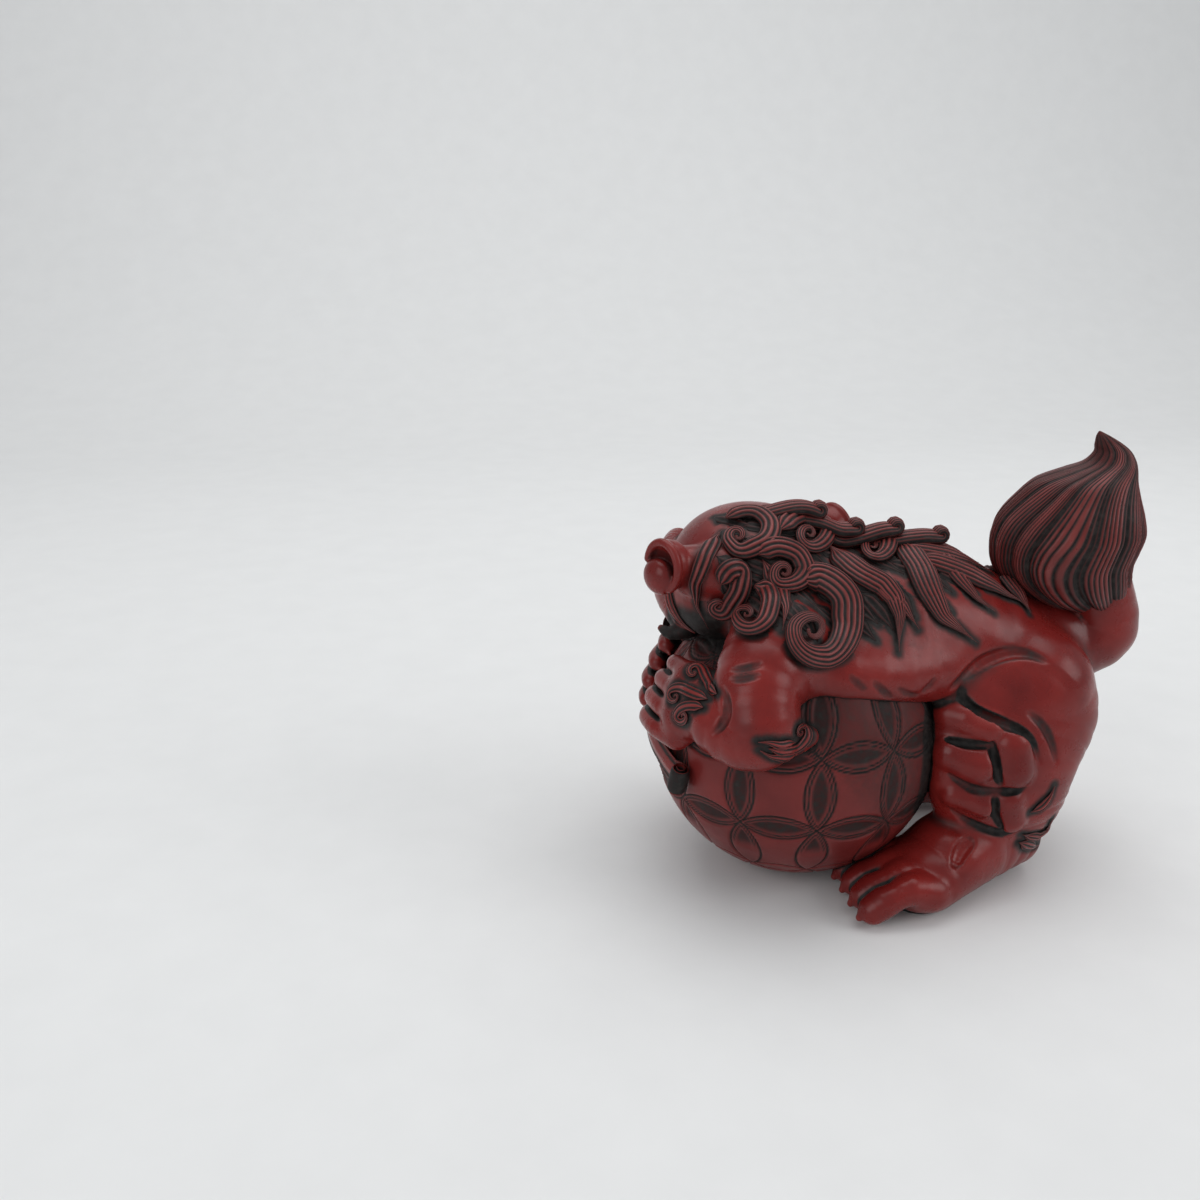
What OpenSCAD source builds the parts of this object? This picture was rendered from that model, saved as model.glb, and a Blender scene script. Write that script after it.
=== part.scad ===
// Foo dog bookend: a guardian lion that crouches over a ball, cast in sections and bonded.
// The lion faces -X, its left side is -Y, and the floor is Z = 0 under the centre of the ball.

/* [Ball] */
// Outside diameter of the ball
ball_d = 102; // [96:1:108]
// Wall of the hollow ball
ball_wall = 7; // [5:0.5:10]
// Diameter of the flat that the ball stands on
base_flat_d = 30; // [26:1:36]
// Diameter of the filling hole under the ball
filler_d = 18; // [12:1:20]
// Half width of a carved petal
petal_half = 4.4; // [3.6:0.2:4.8]
// Depth of a carved petal
petal_deep = 1.3; // [0.8:0.1:1.6]
// Depth of the stopper in the filling hole
stopper_t = 5; // [3:0.5:6]

/* [Felt] */
// Thickness of the felt pads
felt_t = 1; // [0.5:0.25:2]
// Diameter of the felt pad under each hind foot
foot_felt_d = 18; // [12:1:22]

/* [Trunk] */
// Width across the ribs
rib_w = 62; // [58:1:66]
// Depth of the ribs from belly to back
rib_h = 46; // [42:1:50]
// Height of the ribs' centre above the ball's centre
rib_rise = 44; // [42:1:48]
// Distance of the hips behind the ball's axis
hip_back = 72; // [69:1:76]

/* [Head] */
// Width of the skull
skull_w = 62; // [58:1:66]
// Height of the skull's centre above the ball's centre
skull_rise = 57; // [55:1:59]
// Turn of the head to the lion's right
head_turn = 60; // [50:1:66]
// Distance between the centres of the ears
ear_span = 77; // [73:1:81]
// How much lower the right ear is set
ear_drop = 9; // [6:1:12]
// Diameter of an ear
ear_d = 22; // [19:1:25]

/* [Limbs] */
// Thickness of the upper arm
upper_arm_d = 28; // [25:1:30]
// Thickness of the forearm
forearm_d = 22; // [20:1:24]
// Angle that the right paw is set farther round the ball than the left
paw_extra = 22; // [18:1:26]
// Thickness of a front toe
finger_d = 9; // [8:0.5:10]
// Height of the haunch
haunch_h = 52; // [46:1:56]
// Depth of the knee from front to back
knee_d = 54; // [50:1:58]
// Thickness of the lower leg
shank_d = 26; // [22:1:28]
// Distance between the two hind feet at the toes
foot_spread = 78; // [74:1:82]
// Width of one hind foot over its toes
foot_w = 31; // [28:1:34]

/* [Tail] */
// Thickness of the tail's stem
stem_d = 29; // [25:1:32]
// Width of the tail's plume
plume_w = 56; // [48:1:60]
// Height of the plume's tip above the floor
tail_top = 155; // [148:1:162]

/* [Mane and ribbon] */
// Thickness of the mane over the shoulders
mane_t = 3; // [2:0.5:5]
// Width of the crest along the spine
crest_w = 15; // [13:1:17]
// Width of the ribbon
ribbon_w = 10; // [8:0.5:12]
// Thickness of the ribbon
ribbon_t = 2.4; // [2:0.2:3.2]

/* [Joints] */
// Diameter of the locating dowels
dowel_d = 5; // [4:0.5:6]
// Length of the locating dowels
dowel_len = 22; // [18:1:26]
// Clearance around a dowel
dowel_gap = 0.2; // [0.1:0.05:0.4]
// Bond line between a section and the ball
bond_gap = 0.2; // [0.15:0.05:0.4]

/* [Hidden] */
ball_r = ball_d / 2;
ball_z = felt_t + sqrt(pow(ball_r, 2) - pow(base_flat_d / 2, 2));
cavity_r = ball_r - ball_wall;
big_fn = 18;
small_fn = 12;
dowel_fn = 24;
cut_fn = 36;
// A faceted cutter has flats inside its radius, so it is made larger by that much
ball_cut_r = (ball_r + bond_gap) / pow(cos(180 / cut_fn), 2);
dowel_hole_r = (dowel_d / 2 + dowel_gap) / cos(180 / dowel_fn);
rib_z = ball_z + rib_rise;
resin = [0.42, 0.09, 0.09];
steel = [0.7, 0.7, 0.72];
felt = [0.12, 0.1, 0.1];

// Point at a turn from the front towards the right, a lift above the ball's middle and a distance off its face
function on_ball(turn, lift, off) = [
    -(ball_r + off) * cos(lift) * cos(turn),
    (ball_r + off) * cos(lift) * sin(turn),
    ball_z + (ball_r + off) * sin(lift)
];

// Sections of the trunk from the throat to the rump, each [x, y, z, half width, half height, spread of the flank]
trunk_row = [
    [-31, 2, rib_z - 5, 1, 1, 0],
    [-29, 2, rib_z - 5, rib_w * 0.22, rib_h * 0.22, 0],
    [-22, 2, rib_z - 3, rib_w * 0.4, rib_h * 0.4, 0.5],
    [-6, 2, rib_z, rib_w * 0.53, rib_h * 0.53, 1],
    [22, 0, rib_z, rib_w / 2, rib_h / 2, 1.05],
    [48, 0, rib_z - 5, rib_w * 0.47, rib_h * 0.48, 0.5],
    [hip_back, 0, rib_z - 17, rib_w * 0.47, rib_h * 0.5, 0],
    [hip_back + 22, 0, rib_z - 27, rib_w * 0.38, rib_h * 0.42, 0],
    [hip_back + 31, 0, rib_z - 31, rib_w * 0.2, rib_h * 0.24, 0],
    [hip_back + 33, 0, rib_z - 32, 1, 1, 0]
];
skull_at = [-15, 7, ball_z + skull_rise];
hip_z = rib_z - 26;
foot_y = foot_spread / 2;
toe_gap = foot_w / 4;
stem_r = stem_d / 2;
plume_r = plume_w / 2;
plume_x = hip_back + 25;
plume_z = 88;
plume_h = tail_top - plume_z;
finger_lift = [11.5, 19, 26.5, 33.5];
finger_tip = [4, 4, 6, 9];
finger_root = [22, 22, 24, 28];
// The right paw holds the ball farther round than the left one
function hug(s, turn, extra) = s * turn + (s > 0 ? extra : 0);
function sink(s, lift) = lift - (s > 0 ? 7 : 0);

module blob(at, half, fn = big_fn)
    translate(at) scale(half) sphere(1, $fn = fn);

module ball_end(at, r, fn = small_fn)
    translate(at) sphere(r, $fn = fn);

// Solid swept along a row of forms
module row(forms, fn = big_fn)
    for (i = [0 : len(forms) - 2]) {
        hull() {
            blob(forms[i][0], forms[i][1], fn);
            blob(forms[i + 1][0], forms[i + 1][1], fn);
        }
    }

// Limb swept along [centre, radius] pairs
module limb(joints, fn = big_fn)
    for (i = [0 : len(joints) - 2]) {
        hull() {
            ball_end(joints[i][0], joints[i][1], fn);
            ball_end(joints[i + 1][0], joints[i + 1][1], fn);
        }
    }

// Curve through the rows of a list, with steps points between each two
function between(a, b, c, d, t) =
    0.5 * (2 * b + (c - a) * t + (2 * a - 5 * b + 4 * c - d) * t * t + (3 * b - a - 3 * c + d) * t * t * t);
function smooth(rows, steps) = [
    for (i = [0 : len(rows) - 2], k = [0 : steps - 1])
        between(rows[max(i - 1, 0)], rows[i], rows[i + 1], rows[min(i + 2, len(rows) - 1)], k / steps),
    rows[len(rows) - 1]
];

// Closed skin over a stack of rings of points, between two end points
module skin(rings, first, last) {
    n = len(rings[0]);
    top = len(rings) - 1;
    faces = concat(
        [for (i = [0 : top - 1], k = [0 : n - 1])
            [i * n + k, (i + 1) * n + k, (i + 1) * n + (k + 1) % n]],
        [for (i = [0 : top - 1], k = [0 : n - 1])
            [i * n + k, (i + 1) * n + (k + 1) % n, i * n + (k + 1) % n]],
        [for (k = [0 : n - 1]) [(top + 1) * n, k, (k + 1) % n]],
        [for (k = [0 : n - 1]) [(top + 1) * n + 1, top * n + (k + 1) % n, top * n + k]]
    );
    polyhedron(concat([for (r = rings, q = r) q], [first, last]), faces);
}

// Skin over upright oval sections that widen below by their spread
module loft(rows, n) {
    last = len(rows) - 1;
    skin(
        [for (r = rows) [for (k = [0 : n - 1])
            [r[0], r[1] + r[3] * cos(360 * k / n) * (1 + r[5] * max(0, -sin(360 * k / n))),
                r[2] + r[4] * sin(360 * k / n)]]],
        [rows[0][0] - 0.3, rows[0][1], rows[0][2]],
        [rows[last][0] + 0.3, rows[last][1], rows[last][2]]
    );
}

module ball_cut()
    translate([0, 0, ball_z]) sphere(ball_cut_r, $fn = cut_fn);

module in_head()
    translate(skull_at) rotate([6, -5, -head_turn]) children();

module trunk_form()
    loft(smooth(trunk_row, 3), 20);

module skull_form()
    in_head() {
        hull() {
            blob([0, 0, 0], [27, skull_w / 2, 23]);
            blob([-12, 0, 8], [16, skull_w * 0.36, 14]);
        }
        hull() {
            blob([-14, 0, -6], [16, skull_w * 0.4, 13]);
            blob([-32, 0, -7], [9, skull_w * 0.29, 8]);
        }
        for (s = [-1, 1]) {
            hull() {
                blob([-24, s * 12, 9], [9, 9, 7], small_fn);
                blob([-14, s * 18, 11], [9, 9, 7], small_fn);
            }
            hull() {
                blob([-12, s * 26, -10], [10, 8, 11], small_fn);
                blob([-2, s * 27, -8], [12, 8, 14], small_fn);
            }
        }
    }

module jaw_form()
    in_head() {
        hull() {
            blob([-8, 0, -21], [12, skull_w * 0.3, 8]);
            blob([-26, 0, -22], [9, skull_w * 0.22, 6]);
        }
        hull() {
            blob([-26, 0, -22], [9, skull_w * 0.22, 6]);
            blob([-30, 0, -30], [5, 8, 8], small_fn);
        }
    }

// A cupped ear with a round lobe in it
module ear_form(s) {
    tip = [1, s * ear_span / 2, 13 - (s > 0 ? ear_drop : 0)];
    in_head() {
        difference() {
            hull() {
                blob(tip, [ear_d * 0.4, 4.6, ear_d / 2]);
                blob([3, s * 27, tip[2] - 4], [7, 6, 9]);
            }
            blob(tip + [-1.5, s * 4.6, 0.5], [ear_d * 0.28, 4.4, ear_d * 0.36], small_fn);
        }
        blob(tip + [-2.4, s * 0.8, -1.6], [ear_d * 0.23, 4, ear_d * 0.26], small_fn);
    }
}

module foreleg_form(s)
    limb([
        [[-11, s * 27, rib_z - 2], upper_arm_d * 0.66],
        [[-22, s * 40, ball_z + 33], upper_arm_d / 2],
        [on_ball(hug(s, 59, 6), sink(s, 22), 6.5), upper_arm_d * 0.46],
        [on_ball(hug(s, 46, 14), sink(s, 22), 5.5), forearm_d / 2],
        [on_ball(hug(s, 35, paw_extra), sink(s, 26), 4.5), forearm_d * 0.39]
    ]);

module paw_form(s) {
    limb([
        [on_ball(hug(s, 36, paw_extra), sink(s, 25), 4.5), finger_d],
        [on_ball(hug(s, 28, paw_extra), sink(s, 19), 3.5), finger_d * 0.93],
        [on_ball(hug(s, 27, paw_extra), sink(s, 29), 3.5), finger_d * 0.95]
    ]);
    for (i = [0 : 3]) {
        reach = finger_tip[i] - finger_root[i];
        limb([
            [on_ball(hug(s, finger_root[i], paw_extra), sink(s, finger_lift[i]), 6), finger_d / 2],
            [on_ball(hug(s, finger_root[i] + reach * 0.6, paw_extra), sink(s, finger_lift[i]), 5.8), finger_d * 0.46],
            [on_ball(hug(s, finger_tip[i], paw_extra), sink(s, finger_lift[i] - 1), 3.6), finger_d * 0.43],
            [on_ball(hug(s, finger_root[i] + reach * 1.36, paw_extra), sink(s, finger_lift[i] - 2), 1.4), 1]
        ], small_fn);
    }
}

// Raised bands round the knee and the lower leg, each from one end to the other
leg_bands = [
    [[42, 28, 66], [54, 36, 63]],
    [[42, 34, 54], [51, 38, 52]],
    [[62, 38, 57], [63, 40, 50]],
    [[43, 36, 39], [53, 39.5, 37]],
    [[62, 41, 38], [64, 40, 31]]
];
band_r = 6;

module hind_leg_form(s) {
    row([
        [[hip_back + 6, s * 20, hip_z + 2], [21, 20, haunch_h * 0.4]],
        [[hip_back - 3, s * 27, 61], [knee_d * 0.55, 14.5, haunch_h * 0.42]],
        [[hip_back - 8, s * 33, 48], [knee_d / 2, shank_d * 0.48, 16]],
        [[hip_back - 8, s * 32, 34], [knee_d * 0.44, shank_d * 0.48, 13]],
        [[hip_back - 3, s * 27, 22], [knee_d / 3, shank_d * 0.4, 9]]
    ]);
    for (b = leg_bands) {
        hull() {
            ball_end([b[0][0] + hip_back - 72, s * b[0][1], b[0][2]], band_r, 10);
            ball_end([b[1][0] + hip_back - 72, s * b[1][1], b[1][2]], band_r, 10);
        }
    }
}

// The sole is cut level on top of the felt
module hind_foot_form(s)
    intersection() {
        union() {
            row([
                [[hip_back + 3, s * (foot_y - 16), 13], [11, 9.5, 11]],
                [[hip_back - 18, s * (foot_y - 8), 16], [15, 15, 15]],
                [[hip_back - 38, s * foot_y, 9], [14, foot_w * 0.53, 10]]
            ]);
            for (i = [-1.5 : 1 : 1.5]) {
                limb([
                    [[hip_back - 44, s * foot_y + i * toe_gap, 9], foot_w * 0.17],
                    [[hip_back - 53, s * foot_y + i * toe_gap, 10], foot_w * 0.165],
                    [[hip_back - 60, s * foot_y + i * toe_gap, 6], foot_w * 0.15]
                ], small_fn);
            }
        }
        translate([-200, -200, felt_t]) cube([400, 400, 400]);
    }

module stem_form()
    limb([
        [[hip_back + 7, 0, 83], stem_r * 0.83],
        [[hip_back + 19, 0, 82], stem_r * 0.95],
        [[hip_back + 30, 0, 79], stem_r * 0.97],
        [[hip_back + 39, 0, 84], stem_r],
        [[hip_back + 36, 0, 97], stem_r * 0.95]
    ]);

// The plume's sections, each [share of its height, x from its middle, share of its half width, share of depth]
plume_row = [
    [0.03, 12, 0.2, 0.85], [0.06, 11, 0.34, 0.84], [0.13, 6.2, 0.62, 0.82], [0.22, 0.6, 0.86, 0.8],
    [0.35, -1.7, 1, 0.77], [0.48, -1.1, 1.04, 0.75], [0.57, -1, 0.98, 0.74], [0.66, 0.7, 0.84, 0.72],
    [0.75, 3.4, 0.69, 0.73], [0.81, 6.3, 0.54, 0.76], [0.86, 9, 0.37, 0.8], [0.91, 9.4, 0.21, 0.83],
    [0.955, 7.6, 0.11, 0.86], [0.99, 5.8, 0.03, 0.9]
];
plume_ribs = 10;

// A flame with twisted ribs
module plume_form()
    skin(
        [for (r = plume_row) [for (k = [0 : 4 * plume_ribs - 1])
            let (a = 90 * k / plume_ribs, turn = a + 13 * sin(298 * r[0] + 34), out = 1 + 0.06 * (k % 4 == 0 ? -1.2 : 0.6))
            [plume_x + r[1] + plume_r * r[2] * out * cos(turn), plume_r * r[2] * r[3] * out * sin(turn),
                plume_z + plume_h * r[0]]]],
        [plume_x + 12.5, 0, plume_z + plume_h * 0.01],
        [plume_x + 5.5, 0, tail_top]
    );

// The mane is a coat over the neck, the shoulders and the back of the head, in two halves
module mane_coat()
    row([
        [[-20, 3, rib_z + 10], [22 + mane_t, rib_w * 0.44 + mane_t, rib_h * 0.44 + mane_t]],
        [[-2, 2, rib_z + 2], [25 + mane_t, rib_w * 0.54 + mane_t, rib_h * 0.53 + mane_t]],
        [[22, 0, rib_z], [24 + mane_t, rib_w / 2 + mane_t, rib_h / 2 + mane_t * 0.8]],
        [[44, 0, rib_z + 1], [16 + mane_t, rib_w * 0.36 + mane_t, rib_h * 0.38 + mane_t * 0.6]]
    ]);

// Wound locks of the mane, each [x, share of the half width, share of the half height, radius]
mane_curls = [
    [-14, 0.66, 0.95, 8], [-3, 0.32, 1.22, 8.5], [23, 0.4, 0.94, 9], [5, 0.8, 0.68, 6], [-25, 0.86, 0.46, 7.5],
    [-10, 1.36, 0.3, 12], [12, 0.95, 0.3, 7]
];
// Hanging locks of the mane, each from root to tip as [x, share of the half width, share of the half height]
mane_flames = [
    [[-10, 0.66, 0.92], [0, 0.8, 0.8], [3, 1.1, 0.56], [-3, 1.32, 0.36]],
    [[5, 0.3, 1.02], [17, 0.7, 0.73], [23, 0.99, 0.14], [24, 1, -0.2]],
    [[25, 0.28, 0.93], [34, 0.76, 0.54], [40, 0.9, 0.17], [51, 0.92, -0.14]],
    [[34, 0.3, 0.9], [47, 0.58, 0.56], [53, 0.66, 0.4], [60, 0.71, 0.23]],
    [[44, 0.3, 0.78], [58, 0.34, 0.56], [64, 0.4, 0.4], [73, 0.44, 0.2]]
];
flame_r = [4, 4, 3, 1.4];

function on_coat(p, s) = [p[0], s * p[1] * rib_w / 2, rib_z + p[2] * rib_h / 2];

// A lock wound up flat on the coat: a ring with a bead in it
module curl(p, s) {
    out = [0, s * p[1], p[2]];
    translate(on_coat(p, s)) rotate([0, acos(out[2] / norm(out)), atan2(out[1], out[0])]) {
        rotate_extrude($fn = 12) translate([p[3] * 0.68, 0]) circle(p[3] * 0.34, $fn = 6);
        sphere(p[3] * 0.44, $fn = 8);
    }
}

module mane_form(s) {
    intersection() {
        mane_coat();
        translate([-60, s > 0 ? crest_w / 2 : -200 - crest_w / 2, rib_z - 2]) cube([122, 200, 80]);
        in_head() translate([2, -150, -100]) cube([200, 300, 200]);
    }
    // The head is turned over the front of the right half
    for (c = mane_curls) if (s < 0 || c[0] > 0) curl(c, s);
    for (f = mane_flames) if (s < 0 || f[0][0] > 0) limb([for (i = [0 : 3]) [on_coat(f[i], s), flame_r[i]]], 8);
}

module crest_form()
    row([
        [[-4, 0, rib_z + rib_h * 0.54], [9, crest_w * 0.48, mane_t + 3]],
        [[14, 0, rib_z + rib_h * 0.52], [10, crest_w * 0.5, mane_t + 3]],
        [[34, 0, rib_z + rib_h * 0.48], [10, crest_w * 0.5, mane_t + 2]],
        [[hip_back - 18, 0, rib_z + rib_h * 0.33], [9, crest_w * 0.45, mane_t + 2]],
        [[hip_back - 6, 0, rib_z + rib_h * 0.16], [7, crest_w * 0.38, mane_t + 1]]
    ], small_fn);

ribbon_path = [
    [44, 27, 9], [40, 22, 5], [31, 15, 2], [20, 9, 1.4], [8, 5, 1.4], [-5, 2, 1.4], [-16, -1, 1.4], [-26, -4, 1.6]
];

module ribbon_slice(i)
    for (k = [-1, 1]) {
        ball_end(on_ball(ribbon_path[i][0] + k * 2, ribbon_path[i][1] + k * (ribbon_w / 2 - 1) * 1.1,
            ribbon_path[i][2]), ribbon_t / 2, 8);
    }

module ribbon_form() {
    for (i = [0 : len(ribbon_path) - 2]) {
        hull() {
            ribbon_slice(i);
            ribbon_slice(i + 1);
        }
    }
    hull() {
        ball_end(on_ball(-28, 1, 3), 3.4, small_fn);
        ball_end(on_ball(-30, -9, 3), 3.4, small_fn);
    }
}

// Dowels run across the joints of the neck, the tail and the hips
dowel_seats = [
    [[-18, 4, ball_z + ball_r + 8], [0, 90, 0]],
    [[hip_back + 22, 0, 74], [0, 74, 0]],
    [[hip_back + 4, -22, hip_z + 3], [80, 0, 0]],
    [[hip_back + 4, 22, hip_z + 3], [-80, 0, 0]]
];

module dowel_holes(which)
    for (i = which) {
        translate(dowel_seats[i][0]) rotate(dowel_seats[i][1])
            cylinder(r = dowel_hole_r, h = dowel_len + 2 * dowel_gap, center = true, $fn = dowel_fn);
    }

// Recess of one petal of the net, level or upright
module petal_cut(turn, lift, lean) {
    long = ball_r * 0.43;
    bow = (long * long / 4 + petal_half * petal_half) / (2 * petal_half);
    translate([0, 0, ball_z]) rotate([0, -lift, 180 - turn]) translate([ball_r - petal_deep, 0, 0])
        rotate([lean, 0, 0]) rotate([0, 90, 0]) intersection() {
            translate([bow - petal_half, 0, 0]) cylinder(r = bow, h = 6);
            translate([petal_half - bow, 0, 0]) cylinder(r = bow, h = 6);
        }
}

module petal_net()
    for (k = [0 : 11]) {
        for (lift = [-17, 13]) petal_cut(30 * k - 67.5, lift, 0);
        for (lift = [-2, 28]) petal_cut(30 * k - 82.5, lift, 90);
    }

module ball_shell()
    color(resin) difference() {
        translate([0, 0, ball_z]) sphere(ball_r);
        translate([0, 0, ball_z]) sphere(cavity_r);
        translate([0, 0, felt_t - ball_d]) cylinder(d = ball_d, h = ball_d);
        cylinder(d = filler_d, h = ball_z);
        petal_net();
    }

module ball_weight()
    color([0.6, 0.57, 0.52]) difference() {
        translate([0, 0, ball_z]) sphere(cavity_r);
        translate([0, 0, felt_t]) cylinder(d = filler_d + 2, h = stopper_t);
    }

module ball_stopper()
    color([0.1, 0.1, 0.1]) translate([0, 0, felt_t]) cylinder(d = filler_d, h = stopper_t);

module base_felt()
    color(felt) cylinder(d = base_flat_d, h = felt_t);

module foot_felts()
    for (s = [-1, 1]) {
        color(felt) translate([hip_back - 38, s * foot_y, 0]) cylinder(d = foot_felt_d, h = felt_t);
    }

module dowels()
    for (seat = dowel_seats) {
        color(steel) translate(seat[0]) rotate(seat[1]) cylinder(d = dowel_d, h = dowel_len, center = true);
    }

module trunk()
    color(resin) difference() {
        trunk_form();
        ball_cut();
        dowel_holes([0 : 3]);
    }

module head()
    color(resin) difference() {
        skull_form();
        trunk_form();
        ball_cut();
        dowel_holes([0]);
    }

module jaw()
    color(resin) difference() {
        jaw_form();
        skull_form();
        trunk_form();
        ball_cut();
    }

module ear(s)
    color(resin) difference() {
        ear_form(s);
        skull_form();
        trunk_form();
    }

module foreleg(s)
    color(resin) difference() {
        foreleg_form(s);
        trunk_form();
        skull_form();
        jaw_form();
        ball_cut();
    }

module paw(s)
    color(resin) difference() {
        paw_form(s);
        foreleg_form(s);
        skull_form();
        jaw_form();
        ribbon_form();
        ball_cut();
    }

module hind_leg(s)
    color(resin) difference() {
        hind_leg_form(s);
        trunk_form();
        ball_cut();
        dowel_holes([s < 0 ? 2 : 3]);
    }

module hind_foot(s)
    color(resin) difference() {
        hind_foot_form(s);
        hind_leg_form(s);
        ball_cut();
    }

module tail_stem()
    color(resin) difference() {
        stem_form();
        trunk_form();
        hind_leg_form(-1);
        hind_leg_form(1);
        dowel_holes([1]);
    }

module tail_plume()
    color(resin) difference() {
        plume_form();
        stem_form();
        trunk_form();
        crest_form();
        hind_leg_form(-1);
        hind_leg_form(1);
    }

module mane(s)
    color(resin) difference() {
        mane_form(s);
        trunk_form();
        skull_form();
        jaw_form();
        ear_form(s);
        foreleg_form(s);
        crest_form();
        ball_cut();
    }

module crest()
    color(resin) difference() {
        crest_form();
        trunk_form();
        skull_form();
    }

module ribbon()
    color(resin) difference() {
        ribbon_form();
        jaw_form();
        skull_form();
        foreleg_form(1);
        foreleg_form(-1);
        ball_cut();
    }

module ear_left() ear(-1);
module ear_right() ear(1);
module foreleg_left() foreleg(-1);
module foreleg_right() foreleg(1);
module paw_left() paw(-1);
module paw_right() paw(1);
module hind_leg_left() hind_leg(-1);
module hind_leg_right() hind_leg(1);
module hind_foot_left() hind_foot(-1);
module hind_foot_right() hind_foot(1);
module mane_left() mane(-1);
module mane_right() mane(1);

$fn = 48;

ball_shell();
ball_weight();
ball_stopper();
base_felt();
foot_felts();
dowels();
trunk();
head();
jaw();
ear_left();
ear_right();
mane_left();
mane_right();
crest();
foreleg_left();
foreleg_right();
paw_left();
paw_right();
hind_leg_left();
hind_leg_right();
hind_foot_left();
hind_foot_right();
tail_stem();
tail_plume();
ribbon();
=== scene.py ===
import math

import bpy
import numpy as np
import openvdb
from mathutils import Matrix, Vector, kdtree


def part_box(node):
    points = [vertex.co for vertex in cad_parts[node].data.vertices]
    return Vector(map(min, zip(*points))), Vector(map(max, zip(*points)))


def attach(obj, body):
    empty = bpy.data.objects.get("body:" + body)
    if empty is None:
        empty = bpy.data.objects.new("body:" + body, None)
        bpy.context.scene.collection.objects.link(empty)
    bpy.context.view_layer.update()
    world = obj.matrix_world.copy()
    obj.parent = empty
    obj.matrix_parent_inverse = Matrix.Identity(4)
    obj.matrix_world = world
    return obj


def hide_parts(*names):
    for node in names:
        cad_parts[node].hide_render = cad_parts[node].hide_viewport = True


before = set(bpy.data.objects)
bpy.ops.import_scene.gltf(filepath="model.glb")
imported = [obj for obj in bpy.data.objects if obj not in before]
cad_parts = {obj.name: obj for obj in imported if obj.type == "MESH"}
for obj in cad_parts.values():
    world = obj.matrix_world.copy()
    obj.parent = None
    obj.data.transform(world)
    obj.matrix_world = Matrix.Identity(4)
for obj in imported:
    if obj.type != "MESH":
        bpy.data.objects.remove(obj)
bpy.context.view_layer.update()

# Sizes of the casting in millimetres, as the part has them
BALL_R = 51.0
BALL_Z = 49.74
FELT_T = 1.0
RIB_Z = 93.74
HIP_Z = RIB_Z - 26.0
FOOT_Y = 39.0
TOE_GAP = 7.75
PLUME_Z = 88.0
PLUME_H = 67.0
SKULL_AT = np.array([-15.0, 7.0, 106.74])

# How far the right paw is set round the ball from the left one's mirror image, and how much lower, in degrees
RIGHT_PAW_TURN = 22
RIGHT_PAW_DROP = 7

# How fine the clay is worked and how far off a form is still felt, in millimetres
FINE = 0.5
BROAD = 0.75
FAR = 12.0

# Room around a node's box, in millimetres, for its form and for the piece that is cut from the skin
FORM_ROOM = 14.0
PIECE_ROOM = 8.0

# Where the photograph was taken from
VIEW_AT = np.array([-124.87, -382.65, 231.0])
VIEW_PITCH = math.radians(18.5)
VIEW_TURN = math.radians(8.0)
VIEW_SIZE = 1200.0
AHEAD = np.array([math.sin(VIEW_TURN), math.cos(VIEW_TURN), 0.0])
RIGHT = np.array([math.cos(VIEW_TURN), -math.sin(VIEW_TURN), 0.0])
UP = np.array([0.0, 0.0, 1.0])
FORWARD = AHEAD * math.cos(VIEW_PITCH) - UP * math.sin(VIEW_PITCH)
DOWN = -UP * math.cos(VIEW_PITCH) - AHEAD * math.sin(VIEW_PITCH)


# Clay: distances in a box of sample points

class Clay:
    """Sample points in millimetres, a box of them or a loose list."""

    def __init__(self, x, y, z, axes=None):
        self.x, self.y, self.z, self.axes = x, y, z, axes
        self.shape = np.broadcast_shapes(np.shape(x), np.shape(y), np.shape(z))

    def window(self, low, high):
        """The slices of a box between two corners and the points in them."""
        if self.axes is None:
            return (Ellipsis,), self
        cuts = tuple(slice(*np.searchsorted(a, (l, h))) for a, l, h in zip(self.axes, low, high))
        if any(c.start >= c.stop for c in cuts):
            return None, None
        return cuts, clay_box([a[c] for a, c in zip(self.axes, cuts)])


def clay_box(axes):
    x, y, z = np.meshgrid(*axes, indexing="ij", sparse=True)
    return Clay(x, y, z, axes)


def clay_between(low, high, step):
    return clay_box([np.arange(a, b + step, step, dtype=np.float32) for a, b in zip(low, high)])


def clay_points(points):
    p = np.asarray(points, np.float32)
    return Clay(p[:, 0], p[:, 1], p[:, 2])


def blend(a, b, k):
    h = np.maximum(k - np.abs(a - b), 0) / k
    return np.minimum(a, b) - h * h * k * 0.25


def cut_by(a, b, k):
    return -blend(-a, b, k)


def unit(rows):
    return rows / np.linalg.norm(rows, axis=1, keepdims=True)


def ramp(a, b, v):
    t = np.clip((v - a) / (b - a), 0, 1)
    return t * t * (3 - 2 * t)


def flow(rows, steps):
    """Rows of numbers eased through one another, with steps of them for each gap."""
    rows = np.asarray(rows, float)
    out = []
    for i in range(len(rows) - 1):
        a, b = rows[max(i - 1, 0)], rows[i]
        c, d = rows[i + 1], rows[min(i + 2, len(rows) - 1)]
        for k in range(steps):
            t = k / steps
            out.append(0.5 * (2 * b + (c - a) * t + (2 * a - 5 * b + 4 * c - d) * t * t
                              + (3 * b - a - 3 * c + d) * t ** 3))
    return np.array(out + [rows[-1]])


def ovals(run, steps=3):
    """A run of (centre, half sizes or radius) eased into six numbers a row."""
    rows = [list(c) + (list(r) if np.ndim(r) else [r] * 3) for c, r in run]
    return flow(rows, steps) if steps > 1 else np.array(rows, float)


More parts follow.
